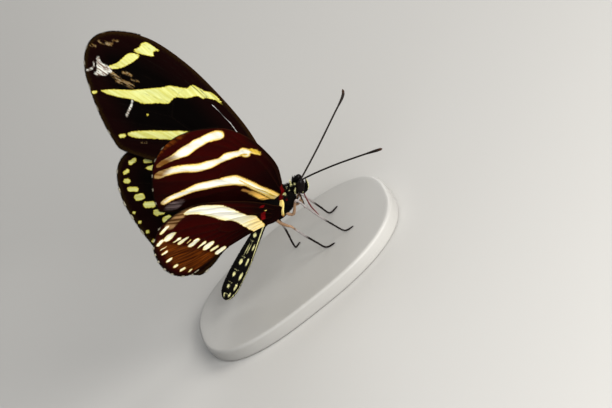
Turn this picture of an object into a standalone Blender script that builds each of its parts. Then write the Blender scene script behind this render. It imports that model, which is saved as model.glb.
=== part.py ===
"""Zebra longwing butterfly, life size, still, standing on a plain display base.

X runs forward along the body, Y to the animal's left, Z up. The origin is the
centre of the display base's underside. Sizes below are in millimetres and are
turned into metres where a mesh is made.
"""
import math

import bmesh
import bpy
import numpy as np
from mathutils import Matrix, Vector
from mathutils.geometry import delaunay_2d_cdt

MM = 0.001
GAP = 0.3                       # left between pieces that touch

# Display base: a flat oval plate under the feet.
BASE_LENGTH = 44.0
BASE_WIDTH = 30.0
BASE_THICKNESS = 3.0
BASE_BEVEL = 0.6
BASE_POINTS = 56
BASE_SQUARENESS = 2.6           # exponent of the plate's oval

# The body's reference point, the middle of the thorax between the wing hinges,
# seen from the base's centre. The feet reach FOOT_DROP below it.
BODY_FORWARD = 6.0
FOOT_DROP = 11.6
FLOOR_Z = BASE_THICKNESS + GAP
BODY_POINT = (BODY_FORWARD, 0.0, FLOOR_Z + FOOT_DROP)

# Thorax: an ellipsoid pitched head-up. Positions here and below are measured
# from the body's reference point.
THORAX_CENTRE = (-0.8, 0.0, -0.8)
THORAX_RADII = (3.9, 2.3, 2.7)
THORAX_PITCH = 8.0

# Head, with its eyes, palps, proboscis and antennae. It is pitched face down.
HEAD_CENTRE = (4.5, 0.0, -0.2)
HEAD_RADII = (1.15, 1.4, 1.55)
HEAD_PITCH = -42.0
EYE_CENTRE = (4.85, 1.15, -0.15)
EYE_RADII = (0.82, 0.6, 1.38)
PALP_PATH = ((3.96, 0.42, -1.33), (4.41, 0.46, -1.8), (5.15, 0.48, -1.72), (5.75, 0.48, -1.2), (6.1, 0.46, -0.8))
PALP_RADII = (0.22, 0.27, 0.27, 0.27, 0.1)
PROBOSCIS_PATH = ((4.6, 0.0, -1.2), (4.3, 0.0, -2.3), (3.9, 0.0, -3.7), (3.6, 0.0, -5.4), (3.6, 0.0, -7.6))
PROBOSCIS_RADIUS = 0.27
ANTENNA_RIGHT_PATH = ((4.8, -0.4, 0.2), (6.5, -0.6, 0.3), (11.6, -3.3, 0.3), (17.0, -6.4, 0.0), (21.4, -9.0, -0.4))
ANTENNA_LEFT_PATH = ((4.8, 0.4, 0.0), (6.0, 0.5, 0.3), (11.2, 3.0, 1.6), (17.0, 5.8, 3.3), (20.3, 7.4, 4.3), (21.2, 8.0, 5.2))
ANTENNA_RADIUS = 0.26
ANTENNA_CLUB_RADIUS = 0.42
ANTENNA_CLUB_LENGTH = 3.2

# Abdomen: a drooping spindle, slender at the waist and widest past its middle.
ABDOMEN_PATH = ((-3.4, 0.0, -1.1), (-5.3, 0.0, -1.8), (-8.6, 0.0, -3.5), (-12.0, 0.0, -5.2),
                (-15.6, 0.0, -6.95), (-19.9, 0.0, -9.2))
ABDOMEN_WAIST = 0.95
ABDOMEN_BULGE = 0.72
ABDOMEN_SWELL_START = 0.12      # as a share of the length, where the waist ends
ABDOMEN_SWELL_SPAN = 1.22       # the swelling's whole arch, which the tail cuts off
ABDOMEN_TIP = 0.15              # the share of the length that rounds off the tail
ABDOMEN_SEGMENTS = 7
ABDOMEN_GROOVE = 0.07
ABDOMEN_RINGS = 42

# Wings. A wing lies in its own plane: s runs out along the wing from the hinge,
# c towards the leading edge. LEAN is the plane's angle from upright, SWEEP the
# angle of s from straight ahead: the left wings are swept back further.
FORE_LEAN = {"left": 37.6, "right": 39.2}
HIND_LEAN = {"left": 37.6, "right": 40.0}
FORE_HINGE = (1.5, 1.8, 0.8)
HIND_HINGE = (-1.6, 2.3, -0.3)
FORE_SWEEP = {"left": 103.0, "right": 92.0}
HIND_SWEEP = {"left": 150.0, "right": 136.0}
WING_HALF = 0.26                # half the membrane's thickness
VEIN_RISE = 0.13                # how far a vein stands up on each face
VEIN_REACH = 0.55               # from a vein's crest to its foot
OUTLINE_STEP = 1.7
VEIN_STEP = 2.2
GRID_STEP = 3.0
FORE_CAMBER = 0.7               # how far the forewing's middle bows outwards
FORE_LENGTH = 45.0
# The hindwing hangs upright below its hinge, beside the abdomen. Its plane
# turns from its lean to upright between HIND_BEND above and below the hinge.
HIND_BEND = 2.0

FORE_OUTLINE = ((-1.2, 0.5), (2.1, 1.3), (5.2, 2.5), (11.6, 4.6), (19.0, 5.9), (27.5, 6.6), (35.9, 5.9),
                (41.6, 3.3), (44.5, 0.3), (44.6, -3.0), (41.8, -6.6), (35.2, -10.6), (30.0, -12.7),
                (26.8, -12.9), (18.0, -9.4), (8.0, -4.9), (1.6, -2.0), (-1.2, -1.4))
HIND_OUTLINE = ((-1.2, 1.1), (1.0, 2.6), (4.0, 4.8), (9.5, 8.2), (16.5, 11.6), (22.0, 13.3), (25.4, 12.6),
                (27.4, 10.6), (27.9, 7.4), (27.2, 3.6), (25.6, 0.0), (23.6, -3.6), (21.0, -7.2),
                (18.0, -10.2), (15.0, -11.7), (12.6, -10.4), (9.6, -7.6), (6.0, -5.2), (2.4, -3.0), (-0.6, -1.6))
# Main veins, each from its root or fork to its end near the margin.
FORE_VEINS = {
    "subcosta": ((3.2, 1.3), (12.0, 4.0), (20.0, 5.2), (27.0, 5.7)),
    "radius": ((0.6, 0.3), (8.0, 1.6), (17.0, 3.1), (24.4, 3.4)),
    "radius 1": ((17.0, 3.1), (25.0, 4.7), (33.5, 5.5)),
    "radius 2": ((24.4, 3.4), (31.0, 4.2), (38.0, 4.3)),
    "radius stem": ((24.4, 3.4), (30.0, 3.1), (35.2, 2.4)),
    "radius 3": ((35.2, 2.4), (39.0, 2.3), (41.8, 2.0)),
    "radius 4": ((35.2, 2.4), (40.0, 0.4), (43.8, -1.6)),
    "cell end": ((24.4, 3.4), (25.6, 1.6), (25.3, -0.6), (24.0, -2.7)),
    "media 1": ((25.6, 1.6), (34.0, -0.5), (43.2, -4.1)),
    "media 2": ((25.3, -0.6), (33.0, -3.4), (41.2, -6.4)),
    "media 3": ((24.0, -2.7), (31.0, -5.9), (37.6, -8.6)),
    "cubitus": ((0.6, -0.5), (8.0, -1.7), (15.0, -2.8), (21.0, -3.4), (24.0, -2.7)),
    "cubitus 1": ((21.0, -3.4), (27.5, -7.3), (33.6, -10.7)),
    "cubitus 2": ((15.0, -2.8), (22.0, -7.4), (29.0, -11.9)),
    "anal": ((4.0, -2.3), (12.0, -5.6), (19.0, -8.8), (25.8, -11.8)),
}
HIND_VEINS = {
    "subcosta": ((0.8, 1.4), (6.0, 4.8), (14.0, 9.0), (22.6, 12.2)),
    "radius": ((4.6, 2.2), (9.0, 4.6), (16.0, 8.2), (25.8, 11.2)),
    "cell front": ((0.8, 0.2), (4.6, 2.2), (9.6, 3.4), (13.4, 4.2)),
    "media 1": ((13.4, 4.2), (20.0, 6.0), (26.9, 7.2)),
    "media 2": ((13.4, 4.2), (13.2, 2.3), (20.0, 3.0), (26.4, 3.6)),
    "media 3": ((12.2, 0.8), (18.6, 0.4), (24.7, -0.2)),
    "cell rear": ((0.8, -0.7), (5.0, -0.8), (9.4, -0.8), (12.2, 0.8), (13.2, 2.3)),
    "cubitus 1": ((9.4, -0.8), (16.0, -2.2), (22.5, -3.9)),
    "cubitus 2": ((5.0, -0.8), (12.0, -3.6), (19.7, -7.4)),
    "anal": ((2.4, -1.6), (9.0, -4.8), (16.6, -9.6)),
}

# Legs, from the hip inside the thorax to the claws. The right pair of middle
# and hind legs stands nearest the viewer; the small forelegs stay folded.
LEG_PATHS = {
    "leg_middle_right": ((-0.5, -1.2, -2.2), (0.6, -1.9, -3.2), (2.5, -2.75, -1.1), (2.95, -2.85, -1.0),
                         (3.1, -2.95, -1.6), (3.95, -3.5, -5.6), (4.9, -3.6, -9.2), (5.5, -3.6, -11.0),
                         (6.2, -3.7, -11.42), (7.2, -3.8, -11.42)),
    "leg_hind_right": ((-2.6, -1.0, -1.9), (-2.2, -2.1, -2.9), (-1.3, -3.4, -3.7), (-0.95, -3.6, -4.1),
                       (-0.3, -3.9, -6.8), (0.5, -4.0, -9.6), (1.0, -4.1, -11.0), (1.7, -4.2, -11.42),
                       (2.7, -4.4, -11.42)),
    "leg_middle_left": ((-0.5, 1.2, -2.2), (0.9, 2.2, -3.2), (2.4, 3.3, -2.6), (2.8, 3.5, -2.9),
                        (3.4, 4.2, -5.6), (4.0, 4.8, -9.2), (4.3, 5.1, -11.0), (5.0, 5.4, -11.42),
                        (6.0, 5.8, -11.42)),
    "leg_hind_left": ((-2.6, 1.0, -1.9), (-3.2, 2.0, -3.4), (-3.0, 2.9, -4.4), (-2.9, 3.1, -4.9),
                      (-3.3, 3.2, -7.4), (-3.9, 3.2, -9.8), (-4.2, 3.2, -11.0), (-4.1, 3.4, -11.42),
                      (-3.3, 3.9, -11.42)),
}
LEG_RADII = (0.42, 0.4, 0.34, 0.33, 0.3, 0.27, 0.26, 0.25, 0.25, 0.25)
FORELEG_PATH = ((1.6, 0.5, -2.0), (2.3, 0.8, -2.7), (3.2, 1.1, -2.35), (3.35, 1.15, -2.6), (2.9, 1.15, -3.9))
FORELEG_RADIUS = 0.26
LEG_SIDES = 8

COLOURS = {
    "scales_black": (0.012, 0.010, 0.010),
    "scales_maroon": (0.030, 0.006, 0.004),
    "eye_black": (0.006, 0.006, 0.008),
    "horn_black": (0.015, 0.012, 0.012),
    "horn_red": (0.120, 0.010, 0.010),
    "leg_grey": (0.350, 0.330, 0.340),
    "base_white": (0.720, 0.710, 0.690),
}


def smooth_path(points, closed=False, per_span=12):
    """Catmull-Rom curve through the points."""
    p = np.array(points, float)
    count = len(p)
    spans = count if closed else count - 1
    t = np.linspace(0.0, 1.0, per_span, endpoint=False)[:, None]
    pieces = []
    for i in range(spans):
        if closed:
            a, b, c, d = p[i - 1], p[i], p[(i + 1) % count], p[(i + 2) % count]
        else:
            a, b, c, d = p[max(i - 1, 0)], p[i], p[i + 1], p[min(i + 2, count - 1)]
        pieces.append(0.5 * (2 * b + (c - a) * t + (2 * a - 5 * b + 4 * c - d) * t ** 2
                             + (3 * b - a - 3 * c + d) * t ** 3))
    if not closed:
        pieces.append(p[-1:])
    return np.vstack(pieces)


def even_points(curve, step, closed=False):
    """Points at equal distances along a curve, about step apart."""
    line = np.vstack([curve, curve[:1]]) if closed else curve
    reach = np.concatenate([[0.0], np.cumsum(np.linalg.norm(np.diff(line, axis=0), axis=1))])
    count = max(2, int(round(reach[-1] / step)))
    stops = np.linspace(0.0, reach[-1], count + 1)
    if closed:
        stops = stops[:-1]
    return np.stack([np.interp(stops, reach, line[:, k]) for k in range(line.shape[1])], axis=1)


def distance_to_lines(points, lines):
    """Shortest distance from each 2-D point to any of the polylines."""
    best = np.full(len(points), 1e9)
    for line in lines:
        for a, b in zip(line[:-1], line[1:]):
            along = b - a
            t = np.clip((points - a) @ along / max(along @ along, 1e-12), 0.0, 1.0)
            best = np.minimum(best, np.linalg.norm(points - a - t[:, None] * along, axis=1))
    return best


def colour_material(name):
    """A plain finish in one of the colours above."""
    material = bpy.data.materials.get(name) or bpy.data.materials.new(name)
    material.use_nodes = True
    shader = material.node_tree.nodes["Principled BSDF"]
    shader.inputs["Base Color"].default_value = (*COLOURS[name], 1.0)
    shader.inputs["Roughness"].default_value = 0.2 if name == "eye_black" else 0.6
    shader.inputs["Metallic"].default_value = 0.0
    return material


def add_object(name, bm, finish, at=(0.0, 0.0, 0.0), parent=None):
    """Store a bmesh that is in millimetres as a named object in metres."""
    bmesh.ops.scale(bm, vec=(MM, MM, MM), verts=bm.verts)
    bmesh.ops.recalc_face_normals(bm, faces=bm.faces)
    mesh = bpy.data.meshes.new(name)
    bm.to_mesh(mesh)
    bm.free()
    mesh.shade_smooth()
    mesh.set_sharp_from_angle(angle=math.radians(40))
    obj = bpy.data.objects.new(name, mesh)
    mesh.materials.append(colour_material(finish))
    obj.location = Vector(at) * MM
    obj.parent = parent
    bpy.context.collection.objects.link(obj)
    return obj


def keep_largest(mesh):
    """Drop every loose shell but the largest."""
    bm = bmesh.new()
    bm.from_mesh(mesh)
    left = set(bm.verts)
    shells = []
    while left:
        stack = [left.pop()]
        shell = list(stack)
        while stack:
            for edge in stack.pop().link_edges:
                for vert in edge.verts:
                    if vert in left:
                        left.remove(vert)
                        stack.append(vert)
                        shell.append(vert)
        shells.append(shell)
    shells.sort(key=len)
    scraps = [vert for shell in shells[:-1] for vert in shell]
    bmesh.ops.delete(bm, geom=scraps, context="VERTS")
    bm.to_mesh(mesh)
    bm.free()


def carve(obj, cutters):
    """Cut the closed cutters out of an object and keep the largest piece."""
    for cutter in cutters:
        cut = obj.modifiers.new("cut", "BOOLEAN")
        cut.operation = "DIFFERENCE"
        cut.solver = "EXACT"
        cut.object = cutter
    bpy.context.view_layer.update()
    shaped = obj.evaluated_get(bpy.context.evaluated_depsgraph_get())
    mesh = bpy.data.meshes.new_from_object(shaped)
    obj.modifiers.clear()
    old = obj.data
    obj.data = mesh
    bpy.data.meshes.remove(old)
    mesh.name = obj.name
    keep_largest(mesh)


def ellipsoid(centre, radii, pitch=0.0, grow=0.0, fineness=3):
    """An ellipsoid, pitched head-up about Y, with its radii grown."""
    bm = bmesh.new()
    bmesh.ops.create_icosphere(bm, subdivisions=fineness, radius=1.0)
    shape = Matrix.Diagonal([r + grow for r in radii] + [1.0])
    turn = Matrix.Rotation(math.radians(-pitch), 4, "Y")
    bmesh.ops.transform(bm, matrix=Matrix.Translation(centre) @ turn @ shape, verts=bm.verts)
    return bm


def swept_tube(path, radii, sides, flat=1.0):
    """Rings carried along a path, closed at both ends.

    Each ring is square to the path; its frame is carried on from the last one,
    so the tube doesn't twist. flat squeezes the rings sideways.
    """
    bm = bmesh.new()
    tangents = np.gradient(path, axis=0)
    tangents /= np.linalg.norm(tangents, axis=1)[:, None]
    side = np.cross(tangents[0], (0.0, 0.0, 1.0))
    if np.linalg.norm(side) < 0.1:
        side = np.cross(tangents[0], (0.0, 1.0, 0.0))
    rings = []
    for point, tangent, radius in zip(path, tangents, radii):
        side = side - tangent * (side @ tangent)
        side /= np.linalg.norm(side)
        up = np.cross(side, tangent)
        ring = []
        for k in range(sides):
            angle = 2 * math.pi * k / sides
            offset = flat * math.cos(angle) * side + math.sin(angle) * up
            ring.append(bm.verts.new(point + radius * offset))
        rings.append(ring)
    for near, far in zip(rings[:-1], rings[1:]):
        for k in range(sides):
            j = (k + 1) % sides
            bm.faces.new((near[k], near[j], far[j], far[k]))
    bm.faces.new(rings[0][::-1])
    bm.faces.new(rings[-1])
    return bm


def resampled(path, radii, step):
    """A smooth path with its radii, at even distances."""
    both = np.hstack([np.array(path, float), np.array(radii, float)[:, None]])
    curve = even_points(smooth_path(both), step)
    return curve[:, :3], curve[:, 3]


def wing_plan(outline_points, veins):
    """The wing seen flat: triangles, and how far each point is from a vein."""
    outline = even_points(smooth_path(outline_points, closed=True), OUTLINE_STEP, closed=True)
    crests = [even_points(smooth_path(vein), VEIN_STEP) for vein in veins.values()]
    points = [Vector(p) for p in outline]
    edges = []
    for crest in crests:
        first = len(points)
        points.extend(Vector(p) for p in crest)
        edges.extend((first + i, first + i + 1) for i in range(len(crest) - 1))

    def add_clear(candidates, to_points, to_edge):
        known = np.array(points)
        closed_outline = np.vstack([outline, outline[:1]])
        inside = distance_to_lines(candidates, [closed_outline]) > to_edge
        inside &= np.array([winding(p, outline) for p in candidates])
        inside &= distance_to_lines(candidates, crests) > VEIN_REACH * 0.9
        for p in candidates[inside]:
            if np.min(np.linalg.norm(known - p, axis=1)) > to_points:
                points.append(Vector(p))
                known = np.vstack([known, p])

    for crest in crests:
        along = np.gradient(crest, axis=0)
        along /= np.linalg.norm(along, axis=1)[:, None]
        across = np.stack([-along[:, 1], along[:, 0]], axis=1) * VEIN_REACH
        add_clear(np.vstack([crest + across, crest - across]), VEIN_REACH * 0.8, VEIN_REACH * 0.8)
    low, high = outline.min(axis=0), outline.max(axis=0)
    columns = np.arange(low[0], high[0], GRID_STEP)
    rows = np.arange(low[1], high[1], GRID_STEP)
    grid = np.array([(x + (j % 2) * GRID_STEP / 2, y) for j, y in enumerate(rows) for x in columns])
    add_clear(grid, GRID_STEP * 0.45, GRID_STEP * 0.4)

    border = list(range(len(outline)))
    flat = delaunay_2d_cdt([p.to_2d() for p in points], edges, [border], 1, 1e-3)
    corners = np.array([tuple(v) for v in flat[0]])
    rise = np.clip(1.0 - distance_to_lines(corners, crests) / VEIN_REACH, 0.0, 1.0)
    return corners, [tuple(f) for f in flat[2]], WING_HALF + VEIN_RISE * rise


def winding(point, loop):
    """Whether a 2-D point lies inside a closed loop."""
    x, y = point
    a, b = loop, np.roll(loop, -1, axis=0)
    crosses = (a[:, 1] > y) != (b[:, 1] > y)
    where = a[:, 0] + (y - a[:, 1]) * (b[:, 0] - a[:, 0]) / np.where(crosses, b[:, 1] - a[:, 1], 1.0)
    return np.count_nonzero(crosses & (x < where)) % 2 == 1


def wing_solid(plan, place):
    """The same triangles on both faces of the membrane, closed by a rim."""
    corners, triangles, half = plan
    bm = bmesh.new()
    faces = []
    for sign in (1.0, -1.0):
        spots = place(corners, sign * half)
        faces.append([bm.verts.new(p) for p in spots])
    upper, lower = faces
    sides = {}
    for a, b, c in triangles:
        bm.faces.new((upper[a], upper[b], upper[c]))
        bm.faces.new((lower[c], lower[b], lower[a]))
        for edge in ((a, b), (b, c), (c, a)):
            sides[edge] = True
    for a, b in list(sides):
        if (b, a) not in sides:
            bm.faces.new((upper[b], upper[a], lower[a]))
            bm.faces.new((upper[b], lower[a], lower[b]))
    return bm


def fore_place(side, lean, sweep):
    """Where a forewing point goes: s and c in the leaning plane, bowed a little."""
    lean, turn = math.radians(lean), math.radians(sweep)
    outward = np.array([0.0, side * math.sin(lean), math.cos(lean)])
    ahead = np.array([1.0, 0.0, 0.0])
    along = math.cos(turn) * ahead + math.sin(turn) * outward
    lead = math.sin(turn) * ahead - math.cos(turn) * outward
    normal = np.array([0.0, side * math.cos(lean), -math.sin(lean)])

    def place(corners, height):
        share = np.clip(corners[:, 0] / FORE_LENGTH, 0.0, 1.0)
        bow = FORE_CAMBER * 4 * share * (1 - share) - FORE_CAMBER
        lift = (height + bow)[:, None] * normal
        return corners[:, :1] * along + corners[:, 1:] * lead + lift
    return place


def hind_place(side, lean, sweep):
    """Where a hindwing point goes: the plane turns upright below the hinge."""
    lean, turn = math.radians(lean), math.radians(sweep)
    rate = lean / (2 * HIND_BEND)

    def place(corners, height):
        ahead = corners[:, 0] * math.cos(turn) + corners[:, 1] * math.sin(turn)
        out = corners[:, 0] * math.sin(turn) - corners[:, 1] * math.cos(turn)
        angle = np.clip(rate * (out + HIND_BEND), 0.0, lean)
        bent = np.clip(out, -HIND_BEND, HIND_BEND)
        y = math.sin(lean) * np.maximum(out, HIND_BEND) - (np.cos(rate * (bent + HIND_BEND)) - math.cos(lean)) / rate
        z = (math.cos(lean) * np.maximum(out, HIND_BEND) - (math.sin(lean) - np.sin(rate * (bent + HIND_BEND))) / rate
             + np.minimum(out + HIND_BEND, 0.0))
        y = y + np.cos(angle) * height
        z = z - np.sin(angle) * height
        return np.stack([ahead, side * y, z], axis=1)
    return place


def make_wings(body, thorax_room):
    plans = {"forewing": wing_plan(FORE_OUTLINE, FORE_VEINS), "hindwing": wing_plan(HIND_OUTLINE, HIND_VEINS)}
    for name, side in (("left", 1), ("right", -1)):
        for kind, hinge, lean, sweep, maker in (
                ("forewing", FORE_HINGE, FORE_LEAN[name], FORE_SWEEP[name], fore_place),
                ("hindwing", HIND_HINGE, HIND_LEAN[name], HIND_SWEEP[name], hind_place)):
            finish = "scales_black" if name == "left" else "scales_maroon"
            at = (hinge[0], side * hinge[1], hinge[2])
            wing = add_object(kind + "_" + name, wing_solid(plans[kind], maker(side, lean, sweep)), finish, at, body)
            carve(wing, [thorax_room])


def make_abdomen(body, thorax_room):
    """Rings along the drooping axis, swollen past the middle and grooved at each segment."""
    path = even_points(smooth_path(ABDOMEN_PATH), 0.1)
    share = np.linspace(0.0, 1.0, ABDOMEN_RINGS)
    path = np.stack([np.interp(share, np.linspace(0, 1, len(path)), path[:, k]) for k in range(3)], axis=1)
    arch = np.clip((share - ABDOMEN_SWELL_START) / ABDOMEN_SWELL_SPAN, 0.0, 1.0)
    swell = ABDOMEN_WAIST + ABDOMEN_BULGE * np.sin(math.pi * arch) ** 1.3
    tip = np.sqrt(1.0 - ((share - 1.0 + ABDOMEN_TIP) / ABDOMEN_TIP).clip(0.0, 1.0) ** 2)
    groove = 1.0 - ABDOMEN_GROOVE * np.cos(math.pi * share * ABDOMEN_SEGMENTS) ** 8
    radii = np.maximum(swell * tip * groove, 0.2)
    abdomen = add_object("abdomen", swept_tube(path, radii, 20, 0.94), "scales_black", parent=body)
    carve(abdomen, [thorax_room])


def make_head(body, thorax_room):
    """The head's core with a socket for each eye, and what grows from it."""
    head_room = add_object("head_room", ellipsoid(HEAD_CENTRE, HEAD_RADII, HEAD_PITCH, GAP), "scales_black", parent=body)
    head = add_object("head", ellipsoid(HEAD_CENTRE, HEAD_RADII, HEAD_PITCH), "scales_black", parent=body)
    sockets = []
    for name, side in (("left", 1), ("right", -1)):
        centre = (EYE_CENTRE[0], side * EYE_CENTRE[1], EYE_CENTRE[2])
        add_object("eye_" + name, ellipsoid(centre, EYE_RADII, HEAD_PITCH), "eye_black", parent=body)
        socket = ellipsoid(centre, EYE_RADII, HEAD_PITCH, GAP)
        sockets.append(add_object("socket_" + name, socket, "eye_black", parent=body))
        path, radii = resampled([(x, side * y, z) for x, y, z in PALP_PATH], PALP_RADII, 0.25)
        palp = add_object("palp_" + name, swept_tube(path, radii, 8), "scales_black", parent=body)
        carve(palp, [head_room] + sockets)
    carve(head, [thorax_room] + sockets)

    path, radii = resampled(PROBOSCIS_PATH, [PROBOSCIS_RADIUS] * 4 + [0.5 * PROBOSCIS_RADIUS], 0.5)
    proboscis = add_object("proboscis", swept_tube(path, radii, 8), "horn_red", parent=body)
    carve(proboscis, [head_room])
    for name, route in (("left", ANTENNA_LEFT_PATH), ("right", ANTENNA_RIGHT_PATH)):
        path = even_points(smooth_path(route), 0.6)
        from_tip = np.linalg.norm(path - path[-1], axis=1)
        club = np.clip(from_tip / ANTENNA_CLUB_LENGTH, 0.0, 1.0)
        radii = ANTENNA_RADIUS + (ANTENNA_CLUB_RADIUS - ANTENNA_RADIUS) * np.sin(math.pi * club ** 0.7)
        radii[-1] = 0.6 * ANTENNA_RADIUS
        antenna = add_object("antenna_" + name, swept_tube(path, radii, 8), "horn_black", parent=body)
        carve(antenna, [head_room] + sockets)
    return [head_room] + sockets


def make_legs(body, thorax_room):
    for name, route in LEG_PATHS.items():
        path, radii = resampled(route, LEG_RADII[:len(route)], 0.35)
        bm = swept_tube(path, radii, LEG_SIDES)
        cut = bmesh.ops.bisect_plane(bm, geom=bm.verts[:] + bm.edges[:] + bm.faces[:], dist=1e-5,
                                     plane_co=(0.0, 0.0, -FOOT_DROP), plane_no=(0.0, 0.0, -1.0), clear_outer=True)
        bmesh.ops.contextual_create(bm, geom=[e for e in cut["geom_cut"] if isinstance(e, bmesh.types.BMEdge)])
        leg = add_object(name, bm, "leg_grey", parent=body)
        carve(leg, [thorax_room])
    for name, side in (("left", 1), ("right", -1)):
        path, radii = resampled([(x, side * y, z) for x, y, z in FORELEG_PATH], [FORELEG_RADIUS] * 5, 0.3)
        foreleg = add_object("foreleg_" + name, swept_tube(path, radii, LEG_SIDES), "leg_grey", parent=body)
        carve(foreleg, [thorax_room])


def make_base():
    """A flat plate with a squarish oval outline, its edges bevelled."""
    bm = bmesh.new()
    power = 2.0 / BASE_SQUARENESS
    ring = []
    for k in range(BASE_POINTS):
        angle = 2 * math.pi * k / BASE_POINTS
        x = math.copysign(abs(math.cos(angle)) ** power, math.cos(angle)) * BASE_LENGTH / 2
        y = math.copysign(abs(math.sin(angle)) ** power, math.sin(angle)) * BASE_WIDTH / 2
        ring.append(bm.verts.new((x, y, 0.0)))
    bottom = bm.faces.new(ring)
    raised = bmesh.ops.extrude_face_region(bm, geom=[bottom])["geom"]
    top = [v for v in raised if isinstance(v, bmesh.types.BMVert)]
    bmesh.ops.translate(bm, vec=(0.0, 0.0, BASE_THICKNESS), verts=top)
    rims = [e for e in bm.edges if abs(e.verts[0].co.z - e.verts[1].co.z) < 1e-6]
    bmesh.ops.bevel(bm, geom=rims, offset=BASE_BEVEL, segments=2, profile=0.5, affect="EDGES")
    add_object("stand_base", bm, "base_white")


for old in list(bpy.data.objects):
    bpy.data.objects.remove(old, do_unlink=True)
body_point = bpy.data.objects.new("body_point", None)
body_point.location = Vector(BODY_POINT) * MM
bpy.context.collection.objects.link(body_point)
bpy.context.view_layer.update()

room = add_object("thorax_room", ellipsoid(THORAX_CENTRE, THORAX_RADII, THORAX_PITCH, GAP, 4), "scales_black",
                  parent=body_point)
add_object("thorax", ellipsoid(THORAX_CENTRE, THORAX_RADII, THORAX_PITCH, fineness=4), "scales_black", parent=body_point)
make_wings(body_point, room)
make_abdomen(body_point, room)
guides = make_head(body_point, room)
make_legs(body_point, room)
make_base()
for guide in guides + [room]:
    bpy.data.objects.remove(guide, do_unlink=True)
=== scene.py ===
import math

import bpy
import numpy as np
from mathutils import Matrix, Vector


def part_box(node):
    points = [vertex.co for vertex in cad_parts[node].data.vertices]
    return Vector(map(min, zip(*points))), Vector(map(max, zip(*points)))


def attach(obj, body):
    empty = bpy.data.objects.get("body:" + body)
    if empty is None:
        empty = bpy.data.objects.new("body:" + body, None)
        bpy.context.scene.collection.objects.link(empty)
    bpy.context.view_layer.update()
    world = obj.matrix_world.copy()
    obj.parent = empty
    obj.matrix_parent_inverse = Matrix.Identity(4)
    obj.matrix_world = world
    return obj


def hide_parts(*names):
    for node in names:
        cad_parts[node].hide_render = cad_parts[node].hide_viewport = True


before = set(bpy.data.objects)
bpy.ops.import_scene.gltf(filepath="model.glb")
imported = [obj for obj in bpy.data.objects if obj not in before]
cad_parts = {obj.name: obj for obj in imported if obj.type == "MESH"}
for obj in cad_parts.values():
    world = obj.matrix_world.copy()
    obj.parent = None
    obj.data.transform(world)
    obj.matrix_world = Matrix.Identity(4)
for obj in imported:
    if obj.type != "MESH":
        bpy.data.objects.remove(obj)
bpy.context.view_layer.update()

# Display base: a flat plate of satin off-white acrylic with a softly rounded
# edge, which the feet stand on. It carries the whole model.

# Sizes are in millimetres, and this turns them into metres. The depths of bumps
# and the scales of patterns are for metres.
MM = 0.001


class Flow:
    """A socket in a finish's node tree. Arithmetic on it adds Math nodes."""

    def __init__(self, tree, socket=None):
        self.tree = tree
        self.socket = socket

    def node(self, kind, settings=None, inputs=None, output=0):
        """Add a node, set its settings and then its sockets' values or links, and return one output."""
        made = self.tree.nodes.new(kind)
        for name, value in (settings or {}).items():
            setattr(made, name, value)
        for name, value in (inputs or {}).items():
            socket = made.inputs[name]
            if isinstance(value, Flow):
                self.tree.links.new(value.socket, socket)
            elif socket.type == "RGBA":
                socket.default_value = (*value, 1.0)
            else:
                socket.default_value = value
        return Flow(self.tree, made.outputs[output])

    def maths(self, operation, first, second):
        """A Math node on two sockets or numbers."""
        return self.node("ShaderNodeMath", {"operation": operation}, {0: first, 1: second})

    def __add__(self, other):
        return self.maths("ADD", self, other)

    __radd__ = __add__

    def __mul__(self, other):
        return self.maths("MULTIPLY", self, other)

    __rmul__ = __mul__

    def __sub__(self, other):
        return self.maths("SUBTRACT", self, other)

    def __rsub__(self, other):
        return self.maths("SUBTRACT", other, self)

    def larger(self, other):
        """The larger of two masks."""
        return self.maths("MAXIMUM", self, other)

    def fade(self, start, end):
        """0 before start and 1 past end, smooth in between; start may lie past end."""
        return self.node("ShaderNodeMapRange", {"interpolation_type": "SMOOTHSTEP"},
                         {"Value": self, "From Min": start, "From Max": end})

    def mix(self, low, high):
        """The colour low where this mask is 0 and high where it is 1."""
        return self.node("ShaderNodeMix", {"data_type": "RGBA"}, {0: self, 6: low, 7: high}, 2)

    def attribute(self, name):
        """A number that the mesh keeps at each point."""
        return self.node("ShaderNodeAttribute", {"attribute_name": name}, output="Fac")

    def stretched(self, source, scale):
        """Coordinates from a source socket, multiplied by scale on each axis."""
        return self.node("ShaderNodeVectorMath", {"operation": "MULTIPLY"}, {0: source, 1: scale})

    def object_place(self, scale):
        """Object coordinates, multiplied by scale."""
        return self.stretched(self.node("ShaderNodeTexCoord", output="Object"), (scale, scale, scale))

    def noise(self, place, detail=3.0, roughness=0.5):
        """Soft noise, about 0.5 on average, with one blot to each unit of the coordinates."""
        return self.node("ShaderNodeTexNoise", inputs={"Vector": place, "Scale": 1.0, "Detail": detail,
                                                       "Roughness": roughness})


def new_finish(name, roughness=0.6, specular=0.5):
    """A new material, the start of its node tree, and a function that feeds its Principled shader."""
    material = bpy.data.materials.new(name)
    material.use_nodes = True
    tree = material.node_tree
    shader = tree.nodes["Principled BSDF"]
    shader.inputs["Roughness"].default_value = roughness
    shader.inputs["Specular IOR Level"].default_value = specular

    def give(socket, value):
        if isinstance(value, Flow):
            tree.links.new(value.socket, shader.inputs[socket])
        else:
            shader.inputs[socket].default_value = value

    return material, Flow(tree), give


def bump(flow, height, depth, strength=1.0):
    """A normal bent by a height field whose full range is depth metres."""
    return flow.node("ShaderNodeBump", inputs={"Strength": strength, "Distance": depth, "Height": height})


def grid_faces(rows, columns, wrap=False):
    """Quads between neighbours in a grid of points. wrap joins the last column to the first."""
    r = np.arange(rows - 1)[:, None]
    c = np.arange(columns if wrap else columns - 1)[None, :]
    d = (c + 1) % columns
    near, far = r * columns, (r + 1) * columns
    return np.stack([near + c, near + d, far + d, far + c], axis=-1).reshape(-1, 4)


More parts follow.
